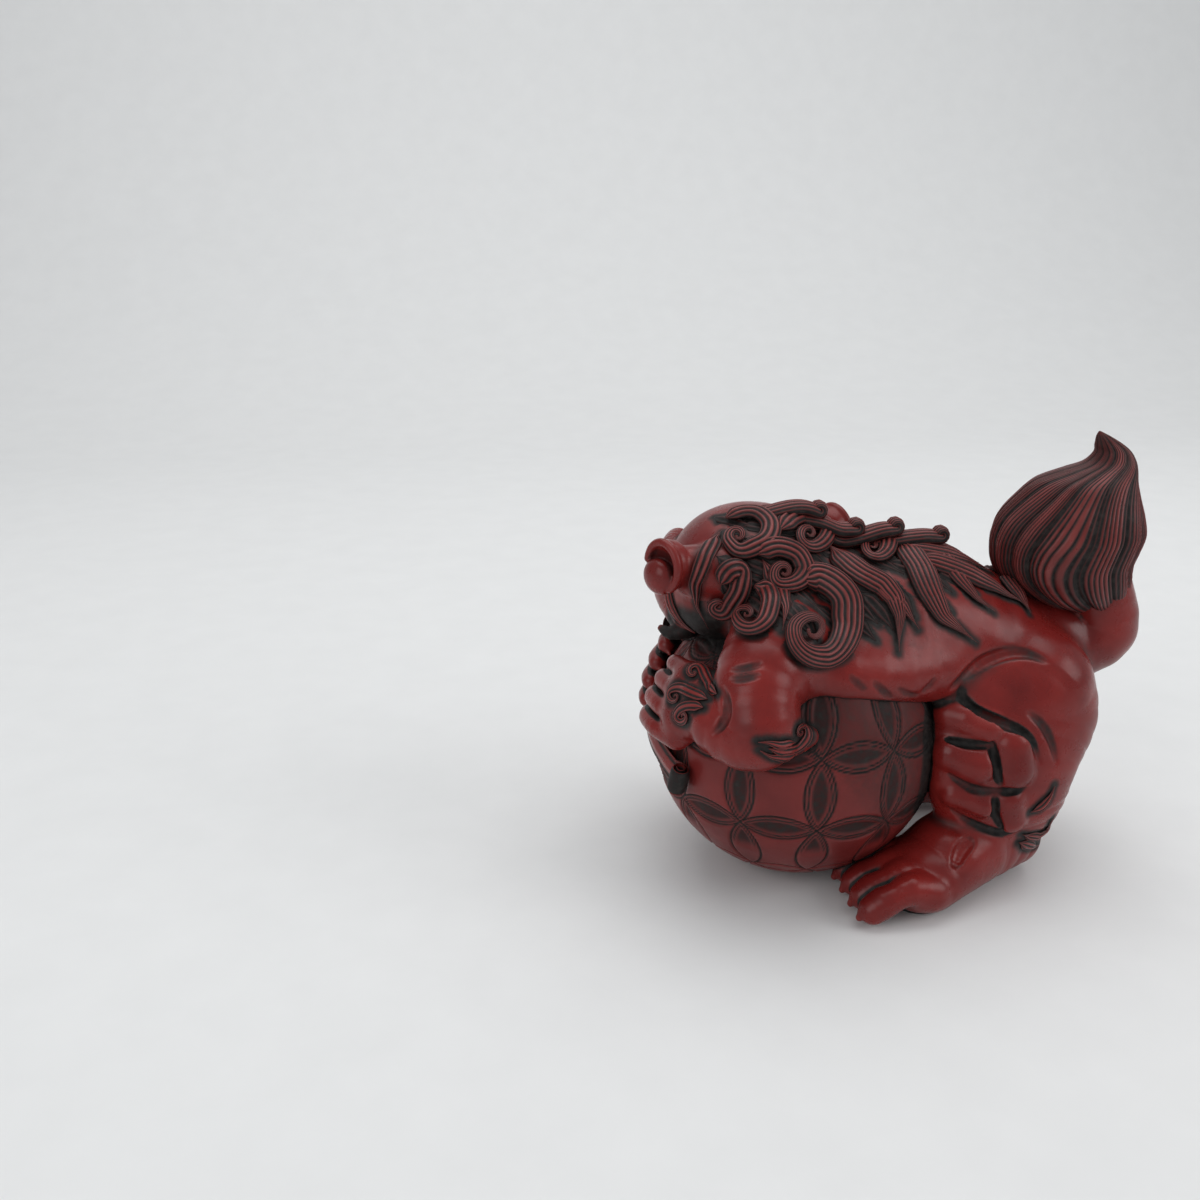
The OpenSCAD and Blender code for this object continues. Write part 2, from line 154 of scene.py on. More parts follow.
def form(clay, rows):
    """Distance to ovals joined end to end."""
    out = np.full(clay.shape, FAR, np.float32)
    rows = np.asarray(rows, np.float32)
    if len(rows) == 1:
        rows = np.concatenate([rows, rows + 1e-3])
    for p, q in zip(rows, rows[1:]):
        reach = np.maximum(p[3:], q[3:]) + FAR
        cut, c = clay.window(np.minimum(p[:3], q[:3]) - reach, np.maximum(p[:3], q[:3]) + reach)
        if c is None:
            continue
        run = q[:3] - p[:3]
        along = (c.x - p[0]) * run[0] + (c.y - p[1]) * run[1] + (c.z - p[2]) * run[2]
        t = np.clip(along / max(float(run @ run), 1e-6), 0, 1)
        rx, ry, rz = (p[3 + k] + t * (q[3 + k] - p[3 + k]) for k in range(3))
        x = (c.x - p[0] - t * run[0]) / rx
        y = (c.y - p[1] - t * run[1]) / ry
        z = (c.z - p[2] - t * run[2]) / rz
        near = np.sqrt(x * x + y * y + z * z)
        slope = np.sqrt((x / rx) ** 2 + (y / ry) ** 2 + (z / rz) ** 2)
        d = near * (near - 1) / np.maximum(slope, 1e-4)
        out[cut] = np.minimum(out[cut], d)
    return out


def blob(clay, at, half):
    return form(clay, [list(at) + (list(half) if np.ndim(half) else [half] * 3)])


def add(d, clay, run, k, steps=3):
    """Blends a run of ovals into a form."""
    return blend(d, form(clay, ovals(run, steps)), k)


def on_ball(turn, lift, off):
    """A point at a turn from the front towards the right, a lift and a distance off the ball."""
    a, b = math.radians(turn), math.radians(lift)
    r = BALL_R + off
    return [-r * math.cos(b) * math.cos(a), r * math.cos(b) * math.sin(a), BALL_Z + r * math.sin(b)]


def ball_form(clay):
    return np.sqrt(clay.x ** 2 + clay.y ** 2 + (clay.z - BALL_Z) ** 2) - BALL_R


# Trunk and limbs

TRUNK = ovals([
    ((-15, 2, 89), (14, 24, 17)),
    ((-4, 2, 93.4), (20, 32.5, 24)),
    ((22, 0, 93.7), (22, 31, 23)),
    ((48, 0, 88.7), (20, 29, 22)),
    ((72, 0, 76.7), (20, 29, 23)),
    ((91, 0, 67), (14, 23.5, 19)),
])
SADDLE = ovals([
    ((30, 0, 104), (12, 13, 11)),
    ((46, 0, 103.5), (12, 12, 10)),
    ((60, 0, 98), (12, 11, 9.5)),
    ((74, 0, 89), (10, 9, 8.5)),
])


def flank_row(s):
    return ovals([
        ((-10, s * 32, 86), (10, 9, 10)),
        ((4, s * 34, 84), (12, 9.5, 10)),
        ((22, s * 31.5, 81.5), (12, 9.5, 9.5)),
        ((38, s * 26, 79), (10, 9, 9)),
    ], 2)


def trunk_form(clay):
    d = form(clay, TRUNK)
    for s in (-1, 1):
        d = blend(d, form(clay, flank_row(s)), 13)
    return blend(d, form(clay, SADDLE), 7)


def hug(s, turn, extra):
    """A turn round the ball to one side, with the right arm set farther round."""
    return s * turn + (extra if s > 0 else 0)


def sink(s, lift):
    return lift - (RIGHT_PAW_DROP if s > 0 else 0)


def foreleg_row(s):
    upper = [((-15.5, -27, RIB_Z - 2), 17.4), ((-26, -39.5, BALL_Z + 33), 14.3)]
    if s > 0:
        upper = [((-7, 28, RIB_Z - 5), 16), ((-12, 43.5, BALL_Z + 24), 12.8)]
    return ovals(upper + [
        (on_ball(hug(s, 59, 6), sink(s, 22), 6.5), 13),
        (on_ball(hug(s, 46, 14), sink(s, 22), 5.5), 11),
        (on_ball(hug(s, 35, RIGHT_PAW_TURN), sink(s, 26), 4.5), 8.6),
    ])


LEFT_ELBOW = ovals([
    (on_ball(-61, 20, 4.5), 8.5),
    (on_ball(-71, 20, 1.5), 5.2),
    (on_ball(-77, 21.5, 0.5), 3.4),
])


def foreleg_form(clay, s):
    d = form(clay, foreleg_row(s))
    return blend(d, form(clay, LEFT_ELBOW), 2) if s < 0 else d


# Each finger's lift on the ball and the turns of its tip and root, in degrees
FINGER_LIFT = [11.5, 19, 26.5, 33.5]
FINGER_TIP = [4, 4, 6, 9]
FINGER_ROOT = [22, 22, 24, 28]


def paw_form(clay, s):
    palm = form(clay, ovals([
        (on_ball(hug(s, 36, RIGHT_PAW_TURN), sink(s, 25), 4.5), 9),
        (on_ball(hug(s, 28, RIGHT_PAW_TURN), sink(s, 19), 3.5), 8.4),
        (on_ball(hug(s, 27, RIGHT_PAW_TURN), sink(s, 29), 3.5), 8.6),
    ], 2))
    toes = np.full(clay.shape, FAR, np.float32)
    for lift, tip, root in zip(FINGER_LIFT, FINGER_TIP, FINGER_ROOT):
        def spot(share, off, r, drop=0.0):
            turn = root + (tip - root) * share
            return on_ball(hug(s, turn, RIGHT_PAW_TURN), sink(s, lift - drop), off), r
        toe = form(clay, ovals([
            spot(-0.3, 5, 4.4), spot(0.2, 6.6, 3.6), spot(0.5, 6.3, 3.4), spot(0.8, 5.6, 3.4, 0.2),
            spot(1.0, 4.4, 3.2, 0.3),
        ], 2))
        nail = form(clay, ovals([
            spot(0.95, 4.6, 1.8, 0.4), spot(1.12, 3.2, 1.3, 0.8), spot(1.2, 1.4, 0.6, 1.2),
        ], 1))
        toes = np.minimum(toes, blend(toe, nail, 0.6))
    return blend(palm, toes, 2.4)


def hind_leg_row(s):
    return ovals([
        ((78, s * 20, HIP_Z + 2), (21, 20, 21)),
        ((69, s * 27, 61), (30, 14.5, 22)),
        ((64, s * 33, 48), (27, 12.5, 16)),
        ((64, s * 32, 34), (24, 12.5, 13)),
        ((69, s * 27, 22), (18, 10.5, 9)),
    ])


def hind_foot_form(clay, s):
    foot = form(clay, ovals([
        ((75, s * 23, 13), (11, 9.5, 11)),
        ((54, s * 31, 16), (15, 15, 15)),
        ((34, s * 39, 9), (14, 16.4, 10)),
    ]))
    toes = np.full(clay.shape, FAR, np.float32)
    for i in (-1.5, -0.5, 0.5, 1.5):
        y = s * FOOT_Y + i * TOE_GAP
        fan = i * 0.9
        toe = form(clay, ovals([
            ((34, y, 10.5), 5.6), ((26.5, y + fan * 0.5, 12.2), 5.5), ((21.5, y + fan, 10.6), 4.7),
            ((17, y + fan, 8.4), 5.3), ((13.5, y + fan, 6), 4.9),
        ], 2))
        nail = form(clay, ovals([
            ((13.5, y + fan, 7.6), 2.6), ((10.4, y + fan, 5.6), 2.0), ((8.9, y + fan, 3.4), 1.2),
        ], 1))
        toes = np.minimum(toes, blend(toe, nail, 0.6))
    d = blend(foot, toes, 2.2)
    return cut_by(d, clay.z - FELT_T, 0.8)


STEM = ovals([
    ((79, 0, 83), 12),
    ((91, 0, 82), 13.8),
    ((102, 0, 79), 14),
    ((111, 0, 84), 14.5),
    ((108, 0, 97), 13.8),
])


# Head, worked in its own axes: ahead is -X, its left is -Y

def turning(x, y, z):
    a, b, c = (math.radians(v) for v in (x, y, z))
    rx = np.array([[1, 0, 0], [0, math.cos(a), -math.sin(a)], [0, math.sin(a), math.cos(a)]])
    ry = np.array([[math.cos(b), 0, math.sin(b)], [0, 1, 0], [-math.sin(b), 0, math.cos(b)]])
    rz = np.array([[math.cos(c), -math.sin(c), 0], [math.sin(c), math.cos(c), 0], [0, 0, 1]])
    return rz @ ry @ rx


HEAD_TURN = turning(6, -5, -60).astype(np.float32)


def in_head(clay):
    x, y, z = (np.asarray(v - o, np.float32) for v, o in zip((clay.x, clay.y, clay.z), SKULL_AT))
    m = HEAD_TURN
    return Clay(*(m[0, k] * x + m[1, k] * y + m[2, k] * z for k in range(3)))


def from_head(points):
    return np.asarray(points, float) @ HEAD_TURN.T + SKULL_AT


def skull_form(h):
    """Skull, brow, muzzle and upper teeth."""
    d = blob(h, (0, 0, 0), (27, 31, 23))
    d = blend(d, blob(h, (-11, 0, 8), (17, 22, 14.5)), 7)
    d = add(d, h, [((-13, 0, -4), (16, 24, 12)), ((-30, 0, -5.5), (11, 15.5, 8))], 5, 1)
    for s in (-1, 1):
        cheek = [((-10, s * 23.5, -6), (9, 7, 8)), ((-1, s * 24, -4), (11, 8, 11))]
        d = add(d, h, cheek, 5, 1)
        spike = [((-12, s * 24, -15), 3.4), ((-15, s * 28.5, -16), (3, 3, 2.3)), ((-19, s * 30, -14.5), 1.3)]
        d = add(d, h, spike, 0.9)
        bun = [((-32, s * 6.6, 8.8), 5.3), ((-28.5, s * 12.4, 9.6), 4), ((-23, s * 17.4, 10), 2.6),
               ((-17, s * 22.5, 10.5), 1.2)]
        d = add(d, h, bun, 1.2)
        lids = [((-30.3, s * (11.6 + 5 * math.cos(a)), 1.8 + 4.2 * math.sin(a)), 1.4)
                for a in np.linspace(0, 2 * math.pi, 13)]
        d = add(d, h, lids, 0.9, 1)
        d = np.minimum(d, blob(h, (-31.4, s * 11.6, 1.8), 4.4))
        d = cut_by(d, blob(h, (-36, s * 12, 1.6), 1.4), 0.4)
    nose = [((-30, 0, 5), (6, 6, 5)), ((-37, 0, 0.5), (5.4, 8, 5)), ((-40.5, 0, -1.8), (4.4, 9, 4.4))]
    d = add(d, h, nose, 2, 1)
    for s in (-1, 1):
        d = blend(d, blob(h, (-38.5, s * 8.6, -3), (5, 4.5, 4.2)), 1.2)
        d = cut_by(d, blob(h, (-44, s * 6.4, -3.6), (2.6, 2.4, 2.0)), 0.6)
        lip = [((-43.5, 0, -8.8), (3.6, 4, 3.2)), ((-40.5, s * 8.8, -9.6), 3.7),
               ((-32, s * 15.2, -10.4), 3.8), ((-21, s * 21, -12), 3.9), ((-12, s * 25, -15), 3.6)]
        d = add(d, h, lip, 1.4)
    d = cut_by(d, blob(h, (-36, 0, -17), (20, 18, 5.8)), 1.0)
    for s in (-1, 1):
        fang = [((-38, s * 11.5, -10.5), 2.5), ((-38.4, s * 11.8, -15), 2.0), ((-37.6, s * 11.4, -19.5), 0.6)]
        d = add(d, h, fang, 0.5)
        for k in range(4):
            d = blend(d, blob(h, (-42.2 + 0.3 * k * k, s * (1.6 + 2.5 * k), -12.2), (1.4, 1.2, 2.2)), 0.4)
    return d


def jaw_form(h):
    """Lower jaw, its lip and fangs, the tongue and the beard."""
    d = form(h, ovals([((-8, 0, -22), (12, 18, 8)), ((-25, 0, -25.5), (9, 13.5, 5.6))], 1))
    chin = [((-25, 0, -26), (9, 13, 5.6)), ((-29, 0, -32), (5, 8, 7))]
    d = add(d, h, chin, 3, 1)
    lip = [((-13, -18.5, -20.5), 3), ((-26, -14, -22.6), 3), ((-33.5, 0, -23.4), 3), ((-26, 14, -22.6), 3),
           ((-13, 18.5, -20.5), 3)]
    d = add(d, h, lip, 1.4)
    tongue = [((-10, 0, -16.4), (8, 8, 3)), ((-25, 0, -19.2), (7, 7, 2.4))]
    d = add(d, h, tongue, 0.8, 1)
    for s in (-1, 1):
        d = add(d, h, [((-30, s * 8.5, -22), 2), ((-30.8, s * 8.7, -17), 0.7)], 0.6, 1)
        for at, r in (((-33.5, s * 3.8, -33), 3.6), ((-29.5, s * 9.6, -31), 3.4), ((-23, s * 14, -29), 3)):
            d = blend(d, blob(h, at, r), 0.6)
    return d


# The open rim of the ear: where it starts, how far it goes round, both in degrees, and its steps
RIM_FROM = -64
RIM_SWEEP = 230
RIM_STEPS = 22


def ear_form(h, s):
    """A large dished ear: a rolled rim with a round lobe lying in it."""
    drop = 0 if s < 0 else -9
    c = np.array([0.5, s * 40.2, 14.6 + drop])
    face = np.array([0.06, s * 0.99, 0.1])
    face /= np.linalg.norm(face)
    across = np.cross([0, 0, 1.0], face) * -s
    across /= np.linalg.norm(across)
    rise = np.cross(face, across)
    rise *= np.sign(rise[2])
    root = form(h, ovals([((3, s * 25, 8 + drop), (12.5, 8, 11.5)), (c - face * 4, (7.2, 4, 7.8))], 1))
    d = blend(root, blob(h, c - face * 1.4, (7.6, 4.0, 8.4)), 2.5)
    d = cut_by(d, blob(h, c + face * 3.2, (6.8, 4.4, 7.4)), 0.8)
    ring = []
    for k in range(RIM_STEPS + 1):
        a = math.radians(RIM_FROM + RIM_SWEEP * k / RIM_STEPS)
        ring.append((c + across * math.cos(a) * 6.9 + rise * math.sin(a) * 8.0 + face * 1.4, 1.45))
    d = blend(d, form(h, ovals(ring, 1)), 0.7)
    lobe = blob(h, c + face * 1.5 - rise * 3.6 - across * 1.8, (6.4, 4.2, 6.2))
    return blend(d, lobe, 0.5)


# The skin: every form in one field, shared out between the pieces

def boxed(node, room):
    low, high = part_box(node)
    return np.array(low) * 1000 - room, np.array(high) * 1000 + room


LIMBS = {
    "trunk": trunk_form,
    "tail_stem": lambda c: form(c, STEM),
    "head": lambda c: skull_form(in_head(c)),
    "jaw": lambda c: jaw_form(in_head(c)),
}
for side, s in (("left", -1), ("right", 1)):
    LIMBS["hind_leg_" + side] = lambda c, s=s: form(c, hind_leg_row(s))
    LIMBS["hind_foot_" + side] = lambda c, s=s: hind_foot_form(c, s)
    LIMBS["foreleg_" + side] = lambda c, s=s: foreleg_form(c, s)
    LIMBS["paw_" + side] = lambda c, s=s: paw_form(c, s)
    LIMBS["ear_" + side] = lambda c, s=s: ear_form(in_head(c), s)

# The order in which the forms are joined, and how softly each joins those before it
ORDER = [
    "trunk", "hind_leg_left", "hind_leg_right", "foreleg_left", "foreleg_right", "tail_stem", "head", "jaw",
    "ear_left", "ear_right", "hind_foot_left", "hind_foot_right", "paw_left", "paw_right",
]
BLEND = {
    "hind_leg": 5.0, "foreleg": 5.0, "tail_stem": 5.0, "head": 4.0,
    "jaw": 1.5, "ear": 2.0, "hind_foot": 4.0, "paw": 2.0,
}
ROOM = {name: boxed(name, FORM_ROOM) for name in ORDER}


def limb_distances(clay, names=ORDER):
    out = {}
    for name in names:
        cut, c = clay.window(*ROOM[name])
        if c is None:
            continue
        d = np.full(clay.shape, FAR, np.float32)
        d[cut] = LIMBS[name](c)
        out[name] = d
    return out


def join_limbs(parts):
    total = None
    for name in ORDER:
        if name in parts:
            soft = next((v for key, v in BLEND.items() if name.startswith(key)), None)
            total = parts[name] if total is None else blend(total, parts[name], soft)
    return total


def bare_skin(points, names=ORDER):
    return join_limbs(limb_distances(clay_points(points), names))


def skin_normal(points, names=ORDER, h=0.6):
    p = np.asarray(points, float)
    steps = np.eye(3) * h
    n = np.stack([bare_skin(p + e, names) - bare_skin(p - e, names) for e in steps], 1)
    return n / np.maximum(np.linalg.norm(n, axis=1, keepdims=True), 1e-6)


def march(start, along, names, reach):
    """Walks each line until it meets the skin."""
    t = np.zeros(len(start))
    live = np.arange(len(start))
    for _ in range(80):
        d = bare_skin(start[live] + along[live] * t[live, None], names)
        t[live] += np.clip(d, -2, 10) * 0.9
        live = live[(np.abs(d) > 0.02) & (t[live] < reach)]
        if len(live) == 0:
            break
    return start + along * np.minimum(t, reach)[:, None]


# Where lines are sent from to find the skin and how far they go: from the camera, across and from above
SIGHT_FROM, SIGHT_REACH = 225, 260
ACROSS_FROM, ACROSS_REACH = 85.0, 120
ABOVE_FROM, ABOVE_REACH = 150.0, 110
FAR_SIDE = ["trunk", "hind_leg_right", "foreleg_right", "tail_stem", "head", "hind_foot_right", "paw_right"]


def sight(pixels):
    p = (np.asarray(pixels, float) - VIEW_SIZE / 2) / VIEW_SIZE
    return unit(RIGHT * p[:, :1] + DOWN * p[:, 1:] + FORWARD)


def seen_on_skin(pixels, names):
    """Where lines of sight through the photograph meet the skin."""
    d = sight(pixels)
    return march(VIEW_AT + d * SIGHT_FROM, d, names, SIGHT_REACH)


def seen_at_y(pixel, y):
    d = sight([pixel])[0]
    return VIEW_AT + d * (y - VIEW_AT[1]) / d[1]


def across_on_skin(points):
    """The same place on the far side, found straight across."""
    start = np.asarray(points, float).copy()
    start[:, 1] = ACROSS_FROM
    return march(start, np.tile([0.0, -1.0, 0.0], (len(start), 1)), FAR_SIDE, ACROSS_REACH)


def under_on_skin(x, y, names):
    """The skin straight under places along the back."""
    start = np.stack([x, y, np.full(len(x), ABOVE_FROM)], 1)
    return march(start, np.tile([0.0, 0.0, -1.0], (len(start), 1)), names, ABOVE_REACH)


# Folds and swellings on the limbs, each placed on the near side and mirrored

def on_skin_together(paths, names):
    """Every path of pixels laid on the skin in one go, with the skin's normals there."""
    at = seen_on_skin(np.concatenate(paths), names)
    ends = np.cumsum([len(p) for p in paths])[:-1]
    return list(zip(np.split(at, ends), np.split(skin_normal(at, names), ends)))


def swellings(specs, names):
    """Raised bands along points of the photograph, each (pixels, half width, rise)."""
    out = []
    laid = on_skin_together([np.array(s[0], float) for s in specs], names)
    for (at, n), (_, half, rise) in zip(laid, specs):
        r = (half * half + rise * rise) / (2 * rise)
        out.append([(p - m * (r - rise), r) for p, m in zip(at, n)])
    return out


def creases(specs, names):
    """Cut lines along points of the photograph, each (pixels, depth)."""
    out = []
    laid = on_skin_together([flow(s[0], 4) for s in specs], names)
    for (at, n), (_, deep) in zip(laid, specs):
        t = np.linspace(0, 1, len(at))
        r = deep * (0.25 + 0.75 * np.sin(np.pi * t) ** 0.6)
        out.append([(p + m * 0.25 * deep, q) for p, m, q in zip(at, n, r)])
    return out


LEG = ["hind_leg_left", "hind_foot_left", "trunk"]
ARM = ["trunk", "foreleg_left", "paw_left"]
LEG_BANDS = swellings([
    ([(948, 712), (966, 717), (990, 728)], 5.4, 3.0),
    ([(950, 756), (964, 760), (980, 766)], 5.8, 2.8),
    ([(1015, 746), (1017, 772)], 6.4, 3.2),
    ([(952, 798), (968, 802), (984, 808)], 4.0, 2.2),
    ([(1011, 804), (1013, 822)], 5.0, 2.4),
], LEG)
LEG_FOLDS = creases([
    ([(950, 690), (964, 677), (982, 663), (1006, 654), (1028, 654), (1048, 662)], 2.3),
    ([(963, 684), (962, 696), (974, 710), (994, 720), (1014, 728), (1032, 742), (1040, 762)], 1.9),
    ([(1028, 712), (1042, 724), (1052, 742), (1057, 764)], 1.7),
    ([(946, 740), (966, 744), (992, 746)], 1.5),
    ([(992, 742), (994, 762), (1000, 786)], 1.5),
    ([(948, 774), (970, 788), (998, 792), (1026, 788)], 1.6),
    ([(996, 794), (994, 812), (1002, 828)], 1.3),
    ([(950, 808), (966, 820), (996, 832), (1018, 830)], 1.4),
    ([(955, 866), (962, 850), (972, 840)], 3.0),
], LEG)
BELLY_FOLDS = creases([
    ([(850, 676), (858, 684), (866, 690)], 1.1),
    ([(874, 682), (882, 690), (892, 698)], 1.2),
    ([(898, 688), (908, 694), (918, 696)], 1.0),
    ([(922, 692), (930, 686), (936, 678)], 1.1),
], ["trunk"])
ARM_FOLDS = creases([
    ([(730, 669), (744, 668), (762, 664)], 1.6),
    ([(730, 680), (744, 678), (760, 675)], 1.6),
    ([(722, 688), (726, 700), (726, 714), (721, 726), (712, 735)], 2.0),
], ARM)


def mirrored(run):
    return [((c[0], -c[1], c[2]), r) for c, r in run]


def press(clay, skin, run, tool, k):
    """Works one run of ovals into the skin, only where it reaches."""
    rows = ovals(run, 1)
    cut, c = clay.window((rows[:, :3] - rows[:, 3:]).min(0) - 2, (rows[:, :3] + rows[:, 3:]).max(0) + 2)
    if c is not None:
        skin[cut] = tool(skin[cut], form(c, rows), k)


def work_skin(clay, skin):
    """Presses the folds into the joined skin and raises the bands on it."""
    for turn in (lambda run: run, mirrored):
        for run in LEG_BANDS:
            press(clay, skin, turn(run), blend, 1.2)
        for run in LEG_FOLDS + BELLY_FOLDS + ARM_FOLDS:
            press(clay, skin, turn(run), cut_by, 1.0)
    return skin


# Meshes: vertices in millimetres, faces, and how deep and how rubbed each vertex is

def skin_mesh(field, low, step):
    padded = np.pad(field.astype(np.float32), 1, constant_values=FAR)
    grid = openvdb.FloatGrid()
    grid.copyFromArray(padded)
    points, quads = grid.convertToQuads(isovalue=0.0)
    points = np.asarray(points, float) - 1
    quads = np.asarray(quads, int)
    a, b, c = (points[quads[:, k]] for k in range(3))
    if np.einsum("ij,ij->", np.cross(b - a, c - a), a - points.mean(0)) < 0:
        quads = quads[:, ::-1]
    return points * step + low, quads


def sample(field, low, step, points):
    """The field at loose points, read between its samples."""
    p = (np.asarray(points) - low) / step
    p = np.clip(p, 0, np.array(field.shape) - 1.001)
    i = p.astype(int)
    f = p - i
    out = 0
    for dx in (0, 1):
        for dy in (0, 1):
            for dz in (0, 1):
                w = (f[:, 0] if dx else 1 - f[:, 0]) * (f[:, 1] if dy else 1 - f[:, 1])
                w = w * (f[:, 2] if dz else 1 - f[:, 2])
                out = out + w * field[i[:, 0] + dx, i[:, 1] + dy, i[:, 2] + dz]
    return out


def vertex_normals(points, quads):
    n = np.zeros_like(points)
    a, b, c, d = (points[quads[:, k]] for k in range(4))
    face = np.cross(c - a, d - b)
    for k in range(4):
        np.add.at(n, quads[:, k], face)
    return n / np.maximum(np.linalg.norm(n, axis=1, keepdims=True), 1e-9)


# How far out and in the skin is felt for hollows and for proud edges, in millimetres
HOLLOW_REACH = (1.2, 2.4)
PROUD_REACH = 1.6


def worn(points, quads, field, low, step):
    """How hollow and how proud each vertex lies, from the field around it."""
    n = vertex_normals(points, quads)
    hollow = np.zeros(len(points))
    for h in HOLLOW_REACH:
        hollow = np.maximum(hollow, (h - sample(field, low, step, points + n * h)) / h)
    proud = (sample(field, low, step, points - n * PROUD_REACH) + PROUD_REACH) / PROUD_REACH
    return np.clip(hollow * 1.9 - 0.2, 0, 1), np.clip(proud * 1.6 - 0.1, 0, 1)


# How a limb goes on past its neighbours: how fast it sinks, how far it runs under them and into the ball
TUCK = 0.12
UNDERLAP = 4
BALL_PRESS = 0.8


def limb_piece(name, step):
    """One limb cut from the shared skin, running a little way under its neighbours."""
    low, high = boxed(name, FORM_ROOM if name.startswith("ear") else PIECE_ROOM)
    clay = clay_between(low, high, step)
    parts = limb_distances(clay)
    skin = work_skin(clay, join_limbs(parts))
    own = parts.pop(name)
    beyond = own - np.minimum.reduce(list(parts.values()))
    field = np.maximum(skin + TUCK * np.maximum(beyond, 0), beyond - UNDERLAP)
    field = np.maximum(field, -ball_form(clay) - BALL_PRESS)
    points, quads = skin_mesh(field, low, step)
    hollow, proud = worn(points, quads, skin, low, step)
    # Painted contact shade, with some dark wash, where the limb meets the ball
    touch = ball_form(clay_points(points))
    hollow = np.maximum(hollow, 0.9 * np.exp(-(np.maximum(touch, 0) / 0.7) ** 2))
    hollow = np.maximum(hollow, hair_shade(points))
    # Painted shade, with some dust, under the throat and the cheeks
    if name in ("trunk", "head", "jaw"):
        hollow = np.maximum(hollow, throat_shade(points, name != "trunk") * (1 - 0.8 * proud))
    if name.startswith("ear"):
        hollow = hollow * 0.55
    return points, quads, hollow, proud


def put_together(parts):
    """Several meshes as one."""
    points, quads, hollow, proud, count = [], [], [], [], 0
    for p, q, a, b in parts:
        points.append(p)
        quads += [np.asarray(f) + count for f in (q if isinstance(q, list) else [q])]
        hollow.append(a)
        proud.append(b)
        count += len(p)
    return np.concatenate(points), quads, np.concatenate(hollow), np.concatenate(proud)


def make_piece(name, node, parts, material):
    """A piece of resin in place of one node of the part."""
    points, groups, hollow, proud = put_together(parts)
    mesh = bpy.data.meshes.new(name)
    loops = np.concatenate([g.ravel() for g in groups])
    sizes = np.concatenate([np.full(len(g), g.shape[1]) for g in groups])
    mesh.vertices.add(len(points))
    mesh.vertices.foreach_set("co", (points / 1000).astype(np.float32).ravel())
    mesh.loops.add(len(loops))
    mesh.loops.foreach_set("vertex_index", loops.astype(np.int32))
    mesh.polygons.add(len(sizes))
    mesh.polygons.foreach_set("loop_start", np.concatenate([[0], np.cumsum(sizes)[:-1]]).astype(np.int32))
    mesh.update(calc_edges=True)
    mesh.validate()
    for key, value in (("groove_and_shade", hollow), ("rub", proud)):
        mesh.attributes.new(key, "FLOAT", "POINT").data.foreach_set("value", value.astype(np.float32))
    mesh.shade_smooth()
    mesh.materials.append(material)
    piece = bpy.data.objects.new(name, mesh)
    bpy.context.collection.objects.link(piece)
    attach(piece, "root")
    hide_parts(node)


# Nodes

def plug(tree, socket, value):
    if isinstance(value, bpy.types.NodeSocket):
        tree.links.new(value, socket)
    else:
        socket.default_value = value


def wire(tree, kind, sockets, **settings):
    """A new node with its settings made and its sockets set or linked."""
    node = tree.nodes.new(kind)
    for key, value in settings.items():
        setattr(node, key, value)
    for key, value in sockets.items():
        plug(tree, node.inputs[key], value)
    return node


# Hair: locks swept along paths on the skin by one node tree

